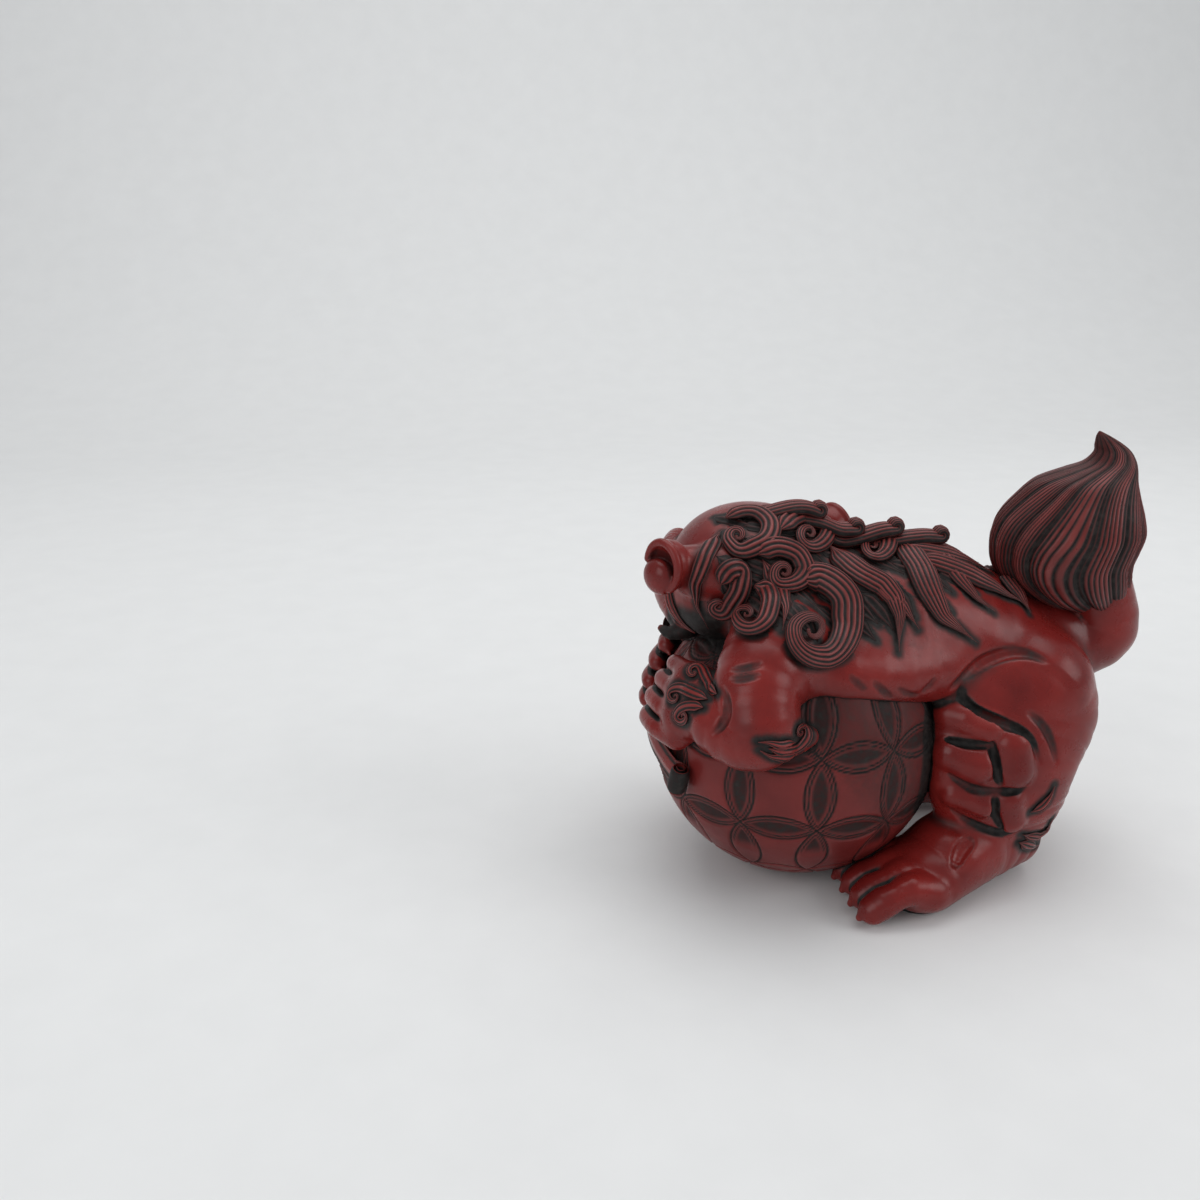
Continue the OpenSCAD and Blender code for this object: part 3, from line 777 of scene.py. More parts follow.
def lock_tree():
    """Sweeps a ridged, domed section along every edge path of the input mesh."""
    tree = bpy.data.node_groups.new("hair_lock_sweep", "GeometryNodeTree")
    for name, kind in (
            ("Geometry", "Geometry"), ("Strands", "Int"), ("Samples", "Int"),
            ("Rise", "Float"), ("Strand depth", "Float"), ("Under", "Float"),
            ("Under share", "Float"), ("Material", "Material")):
        tree.interface.new_socket(name, in_out="INPUT", socket_type="NodeSocket" + kind)
    tree.interface.new_socket("Geometry", in_out="OUTPUT", socket_type="NodeSocketGeometry")
    take = tree.nodes.new("NodeGroupInput").outputs

    def node(kind, sockets, **settings):
        return wire(tree, kind, sockets, **settings).outputs[0]

    def calc(kind, *values):
        return node("ShaderNodeMath", dict(enumerate(values)), operation=kind)

    def named(attribute, kind):
        return node("GeometryNodeInputNamedAttribute", {"Name": attribute}, data_type=kind)

    paths = node("GeometryNodeMeshToCurve", {"Mesh": take["Geometry"]})
    normal = named("lock_normal", "FLOAT_VECTOR")
    paths = node("GeometryNodeSetCurveNormal", {"Curve": paths, "Normal": normal}, mode="FREE")

    ring = node("GeometryNodeCurvePrimitiveLine", {"Start": (0, -1, 0), "End": (0, 1, 0)})
    ring = node("GeometryNodeResampleCurve", {"Curve": ring, "Count": take["Samples"]})
    place = node("GeometryNodeInputPosition", {})
    along = wire(tree, "ShaderNodeSeparateXYZ", {0: place}).outputs["Y"]
    whole = calc("SUBTRACT", 1.0, calc("DIVIDE", 1.0, take["Samples"]))
    share = calc("MULTIPLY", calc("MULTIPLY", calc("ADD", along, 1.0), 0.5), whole)
    above = calc("SUBTRACT", 1.0, take["Under share"])
    top = calc("MINIMUM", calc("DIVIDE", share, above), 1.0)
    past = calc("SUBTRACT", share, above)
    low = calc("MAXIMUM", calc("DIVIDE", past, take["Under share"]), 0.0)
    turn = calc("MULTIPLY", calc("ADD", top, low), math.pi)
    across = calc("MULTIPLY", calc("COSINE", turn), -1.0)
    lift = calc("SINE", turn)
    dome = calc("POWER", calc("ABSOLUTE", lift), 0.8)
    wave = calc("ABSOLUTE", calc("SINE", calc("MULTIPLY", turn, take["Strands"])))
    over = calc("MULTIPLY", calc("SUBTRACT", take["Rise"], take["Under"]), calc("GREATER_THAN", lift, 0.0))
    amount = calc("ADD", take["Under"], over)
    notch = calc("MINIMUM", take["Strand depth"], calc("MULTIPLY", amount, 0.6))
    cut = calc("MULTIPLY", calc("SUBTRACT", 1.0, calc("POWER", wave, 0.9)), notch)
    height = calc("MULTIPLY", calc("SIGN", lift), calc("SUBTRACT", amount, cut))
    height = calc("SUBTRACT", calc("MULTIPLY", height, dome), 0.15)
    shown = calc("MULTIPLY", calc("POWER", wave, 1.9), calc("POWER", dome, 0.5))
    for name, value in (("groove_and_shade", calc("SUBTRACT", 1.0, shown)), ("rub", shown)):
        ring = node("GeometryNodeStoreNamedAttribute", {"Geometry": ring, "Name": name, "Value": value},
                    data_type="FLOAT", domain="POINT")
    section = node("ShaderNodeCombineXYZ", {"X": height, "Y": across})
    ring = node("GeometryNodeSetPosition", {"Geometry": ring, "Position": section})
    ring = node("GeometryNodeSetSplineCyclic", {"Geometry": ring, "Cyclic": True})

    half = named("lock_half", "FLOAT")
    swept = node("GeometryNodeCurveToMesh", {
        "Curve": paths, "Profile Curve": ring, "Scale": half, "Fill Caps": True,
    })
    swept = node("GeometryNodeRealizeInstances", {"Geometry": swept})
    swept = node("GeometryNodeSetMaterial", {"Geometry": swept, "Material": take["Material"]})
    wire(tree, "NodeGroupOutput", {"Geometry": swept})
    return tree


LOCK_TREE = lock_tree()


# How thick a lock is under its edges and how much of its section that takes up
THIN_UNDER = (0.1, 0.12)
ROLLED_UNDER = (0.55, 0.44)


def sweep_locks(locks, strands, rise, deep, material, under):
    """A mesh of locks, each (points, normals, half widths) in millimetres, from the node tree."""
    points = np.concatenate([l[0] for l in locks])
    normals = np.concatenate([l[1] for l in locks])
    halves = np.concatenate([l[2] for l in locks])
    edges, count = [], 0
    for l in locks:
        n = len(l[0])
        edges += [(count + i, count + i + 1) for i in range(n - 1)]
        count += n
    mesh = bpy.data.meshes.new("lock_paths")
    mesh.from_pydata([tuple(p) for p in points], edges, [])
    mesh.attributes.new("lock_normal", "FLOAT_VECTOR", "POINT").data.foreach_set(
        "vector", normals.astype(np.float32).ravel())
    mesh.attributes.new("lock_half", "FLOAT", "POINT").data.foreach_set("value", halves.astype(np.float32))
    paths = bpy.data.objects.new("lock_paths", mesh)
    bpy.context.collection.objects.link(paths)
    mod = paths.modifiers.new("locks", "NODES")
    mod.node_group = LOCK_TREE
    sockets = {i.name: i.identifier for i in LOCK_TREE.interface.items_tree if i.in_out == "INPUT"}
    values = {
        "Strands": strands, "Samples": int(strands * 5 / (1 - under[1])) + 1,
        "Rise": rise, "Strand depth": deep,
        "Under": under[0], "Under share": under[1], "Material": material,
    }
    for name, value in values.items():
        mod[sockets[name]] = value
    swept = bpy.data.meshes.new_from_object(paths.evaluated_get(bpy.context.evaluated_depsgraph_get()))
    bpy.data.objects.remove(paths)
    return plain_mesh(swept)


def plain_mesh(mesh):
    """A Blender mesh as one part, its faces grouped by their number of corners and looking outwards."""
    co = np.zeros(len(mesh.vertices) * 3, np.float32)
    mesh.vertices.foreach_get("co", co)
    co = co.reshape(-1, 3).astype(float)
    marks = []
    for key in ("groove_and_shade", "rub"):
        v = np.zeros(len(co), np.float32)
        mesh.attributes[key].data.foreach_get("value", v)
        marks.append(v)
    start = np.zeros(len(mesh.polygons), np.int32)
    size = np.zeros(len(mesh.polygons), np.int32)
    mesh.polygons.foreach_get("loop_start", start)
    mesh.polygons.foreach_get("loop_total", size)
    loops = np.zeros(len(mesh.loops), np.int32)
    mesh.loops.foreach_get("vertex_index", loops)
    faces = [loops[start[size == n][:, None] + np.arange(n)] for n in np.unique(size)]
    return co, outwards(co, faces), marks[0], marks[1]


def outwards(points, faces):
    """Faces of a closed mesh, turned over if they look inwards."""
    volume = 0.0
    for f in faces:
        a = points[f[:, 0]]
        for k in range(1, f.shape[1] - 1):
            volume += np.einsum("ij,ij->", a, np.cross(points[f[:, k]], points[f[:, k + 1]]))
    return [f[:, ::-1] for f in faces] if volume < 0 else faces


def combed(locks, rise, material, pitch=1.35, under=THIN_UNDER):
    """Locks swept in groups, so that the strands of wide and narrow locks are alike."""
    groups = {}
    for lock in locks:
        count = int(np.clip(round(2 * lock[2].max() / pitch), 3, 9))
        groups.setdefault(count, []).append(lock)
    return [sweep_locks(some, count, rise, min(1.2 / count, 0.32), material, under)
            for count, some in sorted(groups.items())]


def duller(parts, share):
    """Parts with more dust left on them."""
    return [(p, f, g + (1 - g) * share, r * (1 - share)) for p, f, g, r in parts]


def even(points, gap):
    """Points spaced evenly along a path."""
    p = np.asarray(points, float)
    run = np.concatenate([[0], np.cumsum(np.linalg.norm(np.diff(p, axis=0), axis=1))])
    n = max(int(run[-1] / gap), 6)
    t = np.linspace(0, run[-1], n)
    return np.stack([np.interp(t, run, p[:, k]) for k in range(p.shape[1])], 1)


def settle(p, times=2):
    p = np.asarray(p, float).copy()
    for _ in range(times):
        p[1:-1] = (p[:-2] + 2 * p[1:-1] + p[2:]) / 4
    return p


def held(at, names, hairy=None):
    """Where the longest stretch of a path that really lies on the skin starts and ends."""
    good = np.abs(bare_skin(at, names)) < 0.6
    if hairy is not None:
        good &= hairy(at)
    step = np.linalg.norm(np.diff(at, axis=0), axis=1)
    good[1:] &= step < 5
    best, run = (0, 0), 0
    for i, g in enumerate(good):
        run = run + 1 if g else 0
        if run > best[1] - best[0]:
            best = (i + 1 - run, i + 1)
    return slice(*best)


def behind_the_face(points):
    """Whether points keep off the turned face and the dome of the head."""
    h = (np.asarray(points, float) - SKULL_AT) @ HEAD_TURN
    return (h[:, 0] > 4) | (skull_form(in_head(clay_points(points))) > 2.5)


def lay_together(specs, names, far=False):
    """Locks laid along pixels of the photograph, each (pixels, half width, lift, start, end, thin)."""
    paths = [np.asarray(s[0], float) for s in specs]
    paths = [even(p if p.shape[1] > 2 else np.column_stack([p, np.ones(len(p))]), 2.2) for p in paths]
    laid = on_skin_together([p[:, :2] for p in paths], names)
    rows = []
    for (at, n), p in zip(laid, paths):
        keep = held(at, names)
        rows.append(np.column_stack([at, p[:, 2]])[keep])
    if far:
        rows = [r if len(r) else np.zeros((1, 4)) for r in rows]
        ends = np.cumsum([len(r) for r in rows])[:-1]
        moved = np.split(across_on_skin(np.concatenate([r[:, :3] for r in rows])), ends)
        rows = [np.column_stack([at, r[:, 3]])[held(at, FAR_SIDE, behind_the_face)]
                for at, r in zip(moved, rows)]
    kept = [(settle(even(r, 0.8)), s) for r, s in zip(rows, specs) if len(r) > 5]
    ends = np.cumsum([len(r) for r, s in kept])[:-1]
    normals = skin_normal(np.concatenate([r[:, :3] for r, s in kept]), FAR_SIDE if far else names)
    out = []
    for (row, spec), n in zip(kept, np.split(normals, ends)):
        _, half, lift, start, end, thin = spec
        n = unit(settle(n, 4))
        t = np.linspace(0, 1, len(row))
        w = row[:, 3] * ramp(-0.02, start, t) * (end + (1 - end) * ramp(1.02, 1 - thin, t))
        out.append((row[:, :3] + n * lift, n, np.maximum(half * w, 0.12)))
    return out


# How fast a curl winds in with each turn
WIND_IN = -1.4


def curl(tail, centre, turns, way):
    """Pixels and widths of a lock that runs in along its tail and winds up tight round a centre."""
    c = np.asarray(centre, float)
    last = np.asarray(tail[-1], float)
    a0 = math.atan2(last[1] - c[1], last[0] - c[0])
    turn = np.linspace(0, 1, 72)[1:]
    a = a0 + way * turn * turns * 2 * math.pi
    shrink = np.exp(WIND_IN * turns * turn)
    r = np.hypot(*(last - c)) * shrink
    wound = np.stack([c[0] + r * np.cos(a), c[1] + r * np.sin(a), shrink], 1)
    lead = flow([list(v) for v in tail], 6)
    return np.concatenate([np.column_stack([lead, np.ones(len(lead))]), wound])


def wound(curls, lift, start):
    """Locks to lay for curls, each (tail, centre, turns, way, half width) in pixels of the photograph."""
    return [(curl(*c[:4]), c[4], lift, start, 1.0, 0.5) for c in curls]


def straight(paths, lift, start, end, thin):
    """Locks to lay along paths, each (pixels of the photograph, half width)."""
    return [(path, half, lift, start, end, thin) for path, half in paths]


CURLS = [
    ([(727, 523), (742, 517), (759, 518), (770, 529), (766, 543), (751, 551)], (739, 540), 1.4, 1, 3.5),
    ([(778, 534), (790, 523), (808, 519), (823, 527)], (806, 537), 1.6, 1, 3.6),
    ([(836, 540), (850, 533), (868, 532), (886, 540)], (872, 551), 1.6, 1, 3.5),
    ([(756, 556), (774, 549), (794, 555), (803, 571)], (782, 573), 1.5, 1, 3.9),
    ([(720, 582), (728, 570), (738, 573), (740, 589), (733, 602)], (720, 602), 1.3, 1, 3.7),
    ([(754, 585), (766, 592), (772, 606), (768, 622)], (750, 618), 1.6, 1, 3.3),
    ([(798, 580), (824, 582), (843, 599), (845, 622)], (809, 632), 1.6, 1, 5.7),
]
FLAMES = [
    ([(824, 545), (844, 562), (863, 576), (882, 585), (894, 598), (899, 616), (898, 636), (898, 653)], 5.2),
    ([(890, 541), (908, 551), (920, 570), (929, 592), (942, 616), (976, 643)], 5.9),
    ([(868, 572), (884, 592), (902, 606), (918, 630)], 3.2),
    ([(918, 542), (940, 554), (959, 580), (976, 600), (994, 613)], 3.9),
    ([(938, 543), (964, 549), (983, 558), (1002, 575), (1019, 598), (1029, 614)], 4.5),
    ([(722, 532), (705, 556), (695, 582), (698, 606), (709, 627)], 2.9),
    ([(762, 560), (778, 588), (786, 610), (782, 632)], 3.2),
    ([(740, 520), (768, 511), (798, 507), (822, 508)], 3.2),
    ([(770, 521), (800, 513), (830, 512), (858, 515)], 3.2),
    ([(822, 520), (850, 518), (880, 522), (906, 528)], 3.2),
    ([(866, 528), (892, 530), (920, 536), (944, 544)], 3.2),
]
WRIST_CURLS = [
    ([(718, 694), (709, 684), (704, 672)], (694, 673), 1.6, -1, 1.9),
    ([(708, 700), (694, 694), (684, 689)], (676, 697), 1.5, -1, 1.9),
    ([(704, 708), (692, 706), (682, 708), (676, 716)], (684, 716), 1.2, -1, 1.7),
]
ELBOW_CURLS = [
    ([(768, 748), (782, 751), (796, 748), (806, 740)], (800, 732), 1.6, -1, 1.7),
]
ELBOW_FLAMES = [
    ([(800, 750), (786, 757), (770, 756), (760, 750)], 1.8),
    ([(794, 742), (780, 746), (768, 742), (758, 742)], 1.6),
]
HEEL_FLAMES = [
    ([(1022, 834), (1036, 836), (1046, 830), (1052, 818)], 2.2),
    ([(1018, 842), (1034, 846), (1046, 842), (1054, 832)], 2.2),
    ([(1030, 812), (1042, 806), (1050, 796), (1054, 786)], 1.9),
]


def fill_paths():
    """Low locks that cover the coat between the curls, running back and down."""
    rng = np.random.default_rng(11)
    out = []
    for col in range(10):
        x = 718 + 24 * col
        top = 514 + 0.11 * (x - 716) + 0.00016 * (x - 716) ** 2
        low = np.interp(x, [712, 760, 810, 850, 890, 960], [604, 618, 640, 636, 610, 580])
        rows = max(int((low - top) / 19), 1)
        for row in range(rows):
            y = top + 5 + 19 * row + rng.uniform(-3, 3)
            a = math.radians(8 + 40 * row / max(rows, 2) + rng.uniform(-8, 8))
            bend = rng.uniform(0.1, 0.5)
            path, px, py = [], x + rng.uniform(-4, 4), y
            for k in range(7):
                path.append((px, py))
                px += 8 * math.cos(a)
                py += 8 * math.sin(a)
                a += bend / 6
            out.append((path, 3.2 + rng.uniform(-0.4, 0.6)))
    return out


# The ball's lattice: petals on every side of a square net

# The net's cell and where it starts round and up the ball, in degrees, and a petal's half width by its length
NET_CELL = 30
NET_TURN = 82.5
NET_LIFT = 17
PETAL_HALF = 0.195


def petals(turn, lift):
    """How far inside the nearest petal, in millimetres."""
    cell = math.radians(NET_CELL) * BALL_R
    u = (turn + NET_TURN) / NET_CELL
    v = (lift + NET_LIFT) / NET_CELL
    squeeze = np.cos(np.radians(lift))
    inside = np.full(np.shape(turn), -99.0)
    rows = ((u, v, cell * squeeze, cell), (v, u, np.full_like(u, cell), cell * squeeze))
    for along, across, length, narrow in rows:
        a = (along - np.floor(along) - 0.5) * length
        b = (across - np.round(across)) * narrow
        half = PETAL_HALF * length
        r = (length * length / 4 + half * half) / (2 * half)
        inside = np.maximum(inside, np.sqrt(np.maximum(r * r - a * a, 0)) - (r - half) - np.abs(b))
    return inside


def ball_carving(points):
    """Depth cut into the ball, how dark the cut is and how rubbed its edge is."""
    p = points - np.array([0, 0, BALL_Z])
    turn = np.degrees(np.arctan2(p[:, 1], -p[:, 0]))
    lift = np.degrees(np.arcsin(np.clip(p[:, 2] / BALL_R, -1, 1)))
    q = petals(turn, lift)
    fade = ramp(-64, -56, lift) * ramp(70, 62, lift)
    line = np.exp(-(q / 0.5) ** 2)
    second = np.exp(-((q - 1.3) / 0.42) ** 2) * ramp(-34, -26, lift)
    dish = ramp(1.2, 3.2, q) * ramp(-34, -26, lift)
    deep = (0.75 * line + 0.5 * second + 0.95 * dish) * fade
    dark = np.clip(line + second * 0.9 + dish * 0.72, 0, 1) * fade
    edge = np.exp(-((q - 0.75) / 0.35) ** 2) * fade
    return deep, dark, edge


# The way from the ball's centre to the hollow between the belly and the hind legs, the side painted in shade
UNDER_BELLY = np.array([0.72, 0.0, 0.69])
BALL_ROWS = 124


def ball_mesh():
    """A cube of rows blown up to a ball, carved, with shade painted where the limbs lie on it, over its top
    and towards the belly.
    """
    n = BALL_ROWS
    g = np.tan(np.linspace(-math.pi / 4, math.pi / 4, n + 1))
    a, b = np.meshgrid(g, g, indexing="ij")
    one = np.ones_like(a)
    sides = [(one, a, b), (-one, -a, b), (-a, one, b), (a, -one, b), (-b, a, one), (b, a, -one)]
    points, quads = [], []
    index = np.arange((n + 1) ** 2).reshape(n + 1, n + 1)
    for k, side in enumerate(sides):
        points.append(np.stack(side, -1).reshape(-1, 3))
        q = np.stack([index[:-1, :-1], index[1:, :-1], index[1:, 1:], index[:-1, 1:]], -1).reshape(-1, 4)
        quads.append(q + k * (n + 1) ** 2)
    p, quads = weld(unit(np.concatenate(points)), np.concatenate(quads))
    at = p * BALL_R + [0, 0, BALL_Z]
    deep, dark, edge = ball_carving(at)
    at = p * (BALL_R - deep)[:, None] + [0, 0, BALL_Z]
    at[:, 2] = np.maximum(at[:, 2], FELT_T)
    limbs = limb_distances(clay_points(at))
    over = np.minimum.reduce([limbs[k] for k in ("foreleg_left", "foreleg_right", "paw_left", "paw_right")])
    legs = np.minimum(limbs["hind_leg_left"], limbs["hind_leg_right"])
    # Painted shade, with some dust beside the limbs: under the arms and paws, over the top, by the hind legs
    # and towards the belly
    dark = np.maximum.reduce([
        dark,
        0.8 * ramp(3.2, 0.6, over),
        0.92 * ramp(0.5, 0.8, p[:, 2]),
        0.95 * ramp(10.5, 5, legs),
        0.5 * ramp(-0.25, 0.35, p @ UNDER_BELLY),
    ])
    return at, outwards(at, [quads]), dark, edge * 0.8


def weld(points, faces):
    """Joins vertices that lie on one another."""
    key = np.round(points * 1e5).astype(np.int64)
    _, first, back = np.unique(key, axis=0, return_index=True, return_inverse=True)
    return points[first], back.reshape(-1)[faces]


# Tail plume: a flame of twisted strands

# Rows up the plume's outline in the photograph, each (down, left, right)
PLUME_EDGES = [
    (610, 1084, 1104), (604, 1066, 1114), (592, 1029, 1121), (576, 1005, 1124),
    (560, 996, 1126), (544, 995, 1133), (530, 997, 1138), (514, 1004, 1137),
    (496, 1020, 1134), (480, 1038, 1133), (470, 1062, 1134), (462, 1084, 1134),
    (452, 1095, 1130), (444, 1096, 1122), (436, 1097, 1110), (431, 1099, 1101),
]
PLUME_AROUND, PLUME_UP = ((430, 205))


def plume_mesh():
    around, up = PLUME_AROUND, PLUME_UP
    rows = []
    for y, left, right in PLUME_EDGES:
        a, b = seen_at_y((left, y), 0), seen_at_y((right, y), 0)
        rows.append([(a[2] + b[2]) / 2, (a[0] + b[0]) / 2, (b[0] - a[0]) / 2])
    rows = np.array(rows)
    rows[:, 0] += (PLUME_Z + PLUME_H - rows[-1, 0]) * ramp(0, 1, np.linspace(0, 1, len(rows)))
    rows = flow(rows, 12)
    t = np.linspace(0, 1, up)
    run = np.linspace(0, 1, len(rows))
    h, cx, rx = (np.interp(t, run, rows[:, k]) for k in range(3))
    ry = rx * np.interp(t, [0, 0.3, 0.7, 1], [0.85, 0.78, 0.72, 0.9])
    phi = np.linspace(0, 2 * math.pi, around, endpoint=False)
    T, P = np.meshgrid(t, phi, indexing="ij")
    sway = P + 0.34 * np.sin(4.6 * T + 0.4) + 0.05 * np.sin(9 * T + 3 * P)
    loose = sway + 0.11 * np.sin(3 * sway + 1.0) + 0.05 * np.sin(7 * sway + 2.0 + 2 * T)
    big = np.abs(np.sin(6.5 * loose))
    small = np.abs(np.sin(43 * loose + 0.4 * np.sin(5 * T)))
    strong = 0.55 + 0.28 * np.sin(11 * loose + 1.3) + 0.17 * np.sin(23 * loose + 4 * T)
    fade = ramp(0, 0.05, T) * ramp(1.0, 0.93, T)
    out = 1 + fade * (0.07 * (big ** 0.5 - 0.75)) + fade * 0.034 * (0.6 + 0.6 * strong) * (small ** 0.7 - 0.6)
    scallop = 0.035 * big * ramp(0.3, 0.0, T)
    x = cx[:, None] + rx[:, None] * np.cos(P) * out
    y = ry[:, None] * np.sin(P) * out
    z = h[:, None] - PLUME_H * scallop
    points = np.stack([x, y, z], -1).reshape(-1, 3)
    groove_and_shade = np.clip((1 - small ** 1.2) * 0.9 + (1 - big ** 0.35) * 0.9 + 0.35 * (0.75 - strong), 0, 1) * fade
    groove_and_shade = groove_and_shade + 0.6 * ramp(0.1, 0.0, T)
    rub = np.clip(strong, 0, 1) * small * big * fade
    index = np.arange(up * around).reshape(up, around)
    nxt = np.roll(index, -1, 1)
    quads = np.stack([index[:-1], nxt[:-1], nxt[1:], index[1:]], -1).reshape(-1, 4)
    ends = np.array([points[:around].mean(0), points[-around:].mean(0)])
    points = np.concatenate([points, ends])
    n = up * around
    low = np.stack([nxt[0], index[0], np.full(around, n)], -1)
    top = np.stack([index[-1], nxt[-1], np.full(around, n + 1)], -1)
    groove_and_shade = np.concatenate([np.clip(groove_and_shade, 0, 1).ravel(), [1, 0]])
    rub = np.concatenate([rub.ravel(), [0, 0]])
    return points, outwards(points, [quads, np.concatenate([low, top])]), groove_and_shade, rub


# Ribbon: a folded band from the mouth over the ball to a rolled end

# The ribbon's way out of the mouth in the head's axes, then over the ball, each (turn, lift, off)
FROM_MOUTH = [(-20, -4, -17.8), (-30, -4.6, -18), (-37.5, -5, -18.4), (-41, -5.6, -22.5)]
OVER_BALL = [
    (45, 25, 8), (39, 20, 4.4), (31, 15, 2.4), (20, 9, 1.8),
    (8, 5, 1.8), (-5, 2, 1.8), (-16, -1, 1.8), (-24, -3.5, 2.0),
]
ROLL_AT = np.array(on_ball(-28.5, -4, 4.2))
ROLL_STEPS = 25
RIBBON_ACROSS = 13


def ribbon_mesh():
    mid = flow([list(p) for p in from_head(FROM_MOUTH)] + [on_ball(*p) for p in OVER_BALL], 10)
    roll = []
    out = ROLL_AT - np.array([0, 0, BALL_Z])
    out /= np.linalg.norm(out)
    tangent = mid[-1] - mid[-3]
    tangent -= out * (tangent @ out)
    tangent /= np.linalg.norm(tangent)
    for k in range(ROLL_STEPS + 1):
        a = -math.pi / 2 - 0.5 + k / ROLL_STEPS * 3.4 * math.pi
        r = 3.3 * (1 - 0.6 * k / ROLL_STEPS)
        roll.append(ROLL_AT + tangent * math.cos(a) * r + out * math.sin(a) * r)
    mid = settle(even(np.concatenate([mid, roll]), 0.7), 1)
    along = unit(np.gradient(mid, axis=0))
    level = np.cross(out, tangent)
    across = -np.sign(level[2]) * (HEAD_TURN @ np.array([0.0, 1.0, 0.0]))
    share = ramp(0.2, 0.42, np.linspace(0, 1, len(mid)))[:, None]
    side = across * (1 - share) + level * share
    side = unit(side - along * np.sum(along * side, 1, keepdims=True))
    up = np.cross(along, side)
    u = np.linspace(-1, 1, RIBBON_ACROSS)
    half = 5.0 - 0.4 * np.cos(np.linspace(0, 9, len(mid)))
    crest = 0.5 * np.exp(-(u / 0.22) ** 2) - 0.35 * np.exp(-((np.abs(u) - 0.72) / 0.14) ** 2)
    thick = np.sqrt(np.maximum(1 - np.abs(u) ** 4, 0))
    top = side[:, None] * (half[:, None] * u)[..., None] + up[:, None] * (crest + thick)[:, None]
    under = side[:, None] * (half[:, None] * u[::-1])[..., None] - up[:, None] * (thick[::-1] - 0.3)[:, None]
    ring = mid[:, None] + np.concatenate([top, under], 1)
    n, m = ring.shape[:2]
    index = np.arange(n * m).reshape(n, m)
    nxt = np.roll(index, -1, 1)
    quads = np.stack([index[:-1], index[1:], nxt[1:], nxt[:-1]], -1).reshape(-1, 4)
    points = ring.reshape(-1, 3)
    faces = outwards(points, [quads, np.stack([index[0], index[-1][::-1]])])
    hollow = np.exp(-((np.abs(u) - 0.72) / 0.16) ** 2)
    groove_and_shade = np.tile(np.concatenate([hollow, np.full(RIBBON_ACROSS, 0.8)]), n)
    rub = np.tile(np.concatenate([np.exp(-(u / 0.25) ** 2), np.zeros(RIBBON_ACROSS)]), n)
    return points, faces, groove_and_shade, rub


# Finishes

class Finish:
    """A material and the shader nodes that its look is mixed from."""

    def __init__(self, name):
        self.material = bpy.data.materials.new(name)
        self.material.use_nodes = True
        self.tree = self.material.node_tree
        self.tree.nodes.clear()
        self.shader = self.tree.nodes.new("ShaderNodeBsdfPrincipled")
        wire(self.tree, "ShaderNodeOutputMaterial", {"Surface": self.shader.outputs[0]})
        self.place = self.tree.nodes.new("ShaderNodeTexCoord").outputs["Object"]

    def give(self, sockets):
        for key, value in sockets.items():
            plug(self.tree, self.shader.inputs[key], value)

    def worn(self, attribute):
        return wire(self.tree, "ShaderNodeAttribute", {}, attribute_name=attribute).outputs["Fac"]

    def noise(self, scale, detail=4.0):
        sockets = {"Vector": self.place, "Scale": scale, "Detail": detail, "Roughness": 0.55}
        return wire(self.tree, "ShaderNodeTexNoise", sockets).outputs["Fac"]

    def mix(self, share, a, b):
        return wire(self.tree, "ShaderNodeMix", {0: share, 6: a, 7: b}, data_type="RGBA").outputs[2]

    def add(self, a, b):
        return wire(self.tree, "ShaderNodeMath", {0: a, 1: b}, operation="ADD", use_clamp=True).outputs[0]

    def times(self, a, b):
        return wire(self.tree, "ShaderNodeMath", {0: a, 1: b}, operation="MULTIPLY").outputs[0]

    def stretch(self, value, low, high, to_low=0.0, to_high=1.0):
        sockets = {"Value": value, "From Min": low, "From Max": high, "To Min": to_low, "To Max": to_high}
        return wire(self.tree, "ShaderNodeMapRange", sockets).outputs["Result"]

    def bump(self, height, strength, distance):
        sockets = {"Height": height, "Strength": strength, "Distance": distance}
        self.give({"Normal": wire(self.tree, "ShaderNodeBump", sockets).outputs[0]})


# Dark colours of the antiquing dust, also used for painted shade
DUST_AND_SHADE_DARK = (0.004, 0.003, 0.0028, 1)
DUST_AND_SHADE_PALE = (0.024, 0.018, 0.0165, 1)


def antiqued_resin(name, red, deep_red, rubbed, gloss, sheen):
    """Waxed red resin with black-brown antiquing in the hollows, black-brown painted shade and paler rubbed
    edges.
    """
    look = Finish(name)
    cloud = look.stretch(look.noise(55), 0.35, 0.68)
    speck = look.stretch(look.noise(420, 6), 0.42, 0.7)
    lifted = look.times(look.worn("rub"), look.stretch(look.noise(130), 0.3, 0.7, 0.25, 0.9))
    body = look.mix(lifted, look.mix(cloud, red, deep_red), rubbed)
    # The dark wash is antiquing in the hollows and also painted shade where a piece carries it
    wash_and_shade = look.add(look.worn("groove_and_shade"), look.stretch(speck, 0, 1, -0.1, 0.04))
    wash_and_shade = look.stretch(wash_and_shade, 0.16, 0.72)
    dull = look.stretch(wash_and_shade, 0, 1, gloss, gloss + 0.3)
    look.give({
        "Base Color": look.mix(wash_and_shade, body, look.mix(speck, DUST_AND_SHADE_DARK, DUST_AND_SHADE_PALE)),
        "Roughness": look.add(dull, look.stretch(look.noise(160), 0.3, 0.7, -0.05, 0.08)),
        "Specular IOR Level": sheen,
    })
    look.bump(look.noise(260, 5), 0.12, 0.0006)
    return look.material


def plain_finish(name, a, b, scale, rough, metallic=0.0, bumpy=0.1):
    """A mottled finish for the pieces underneath and inside."""
    look = Finish(name)
    grain = look.stretch(look.noise(scale, 6), 0.3, 0.7)
    look.give({
        "Base Color": look.mix(grain, a, b),
        "Roughness": look.stretch(grain, 0, 1, rough, rough + 0.12),
        "Metallic": metallic,
    })
    look.bump(grain, bumpy, 0.0004)
    return look.material


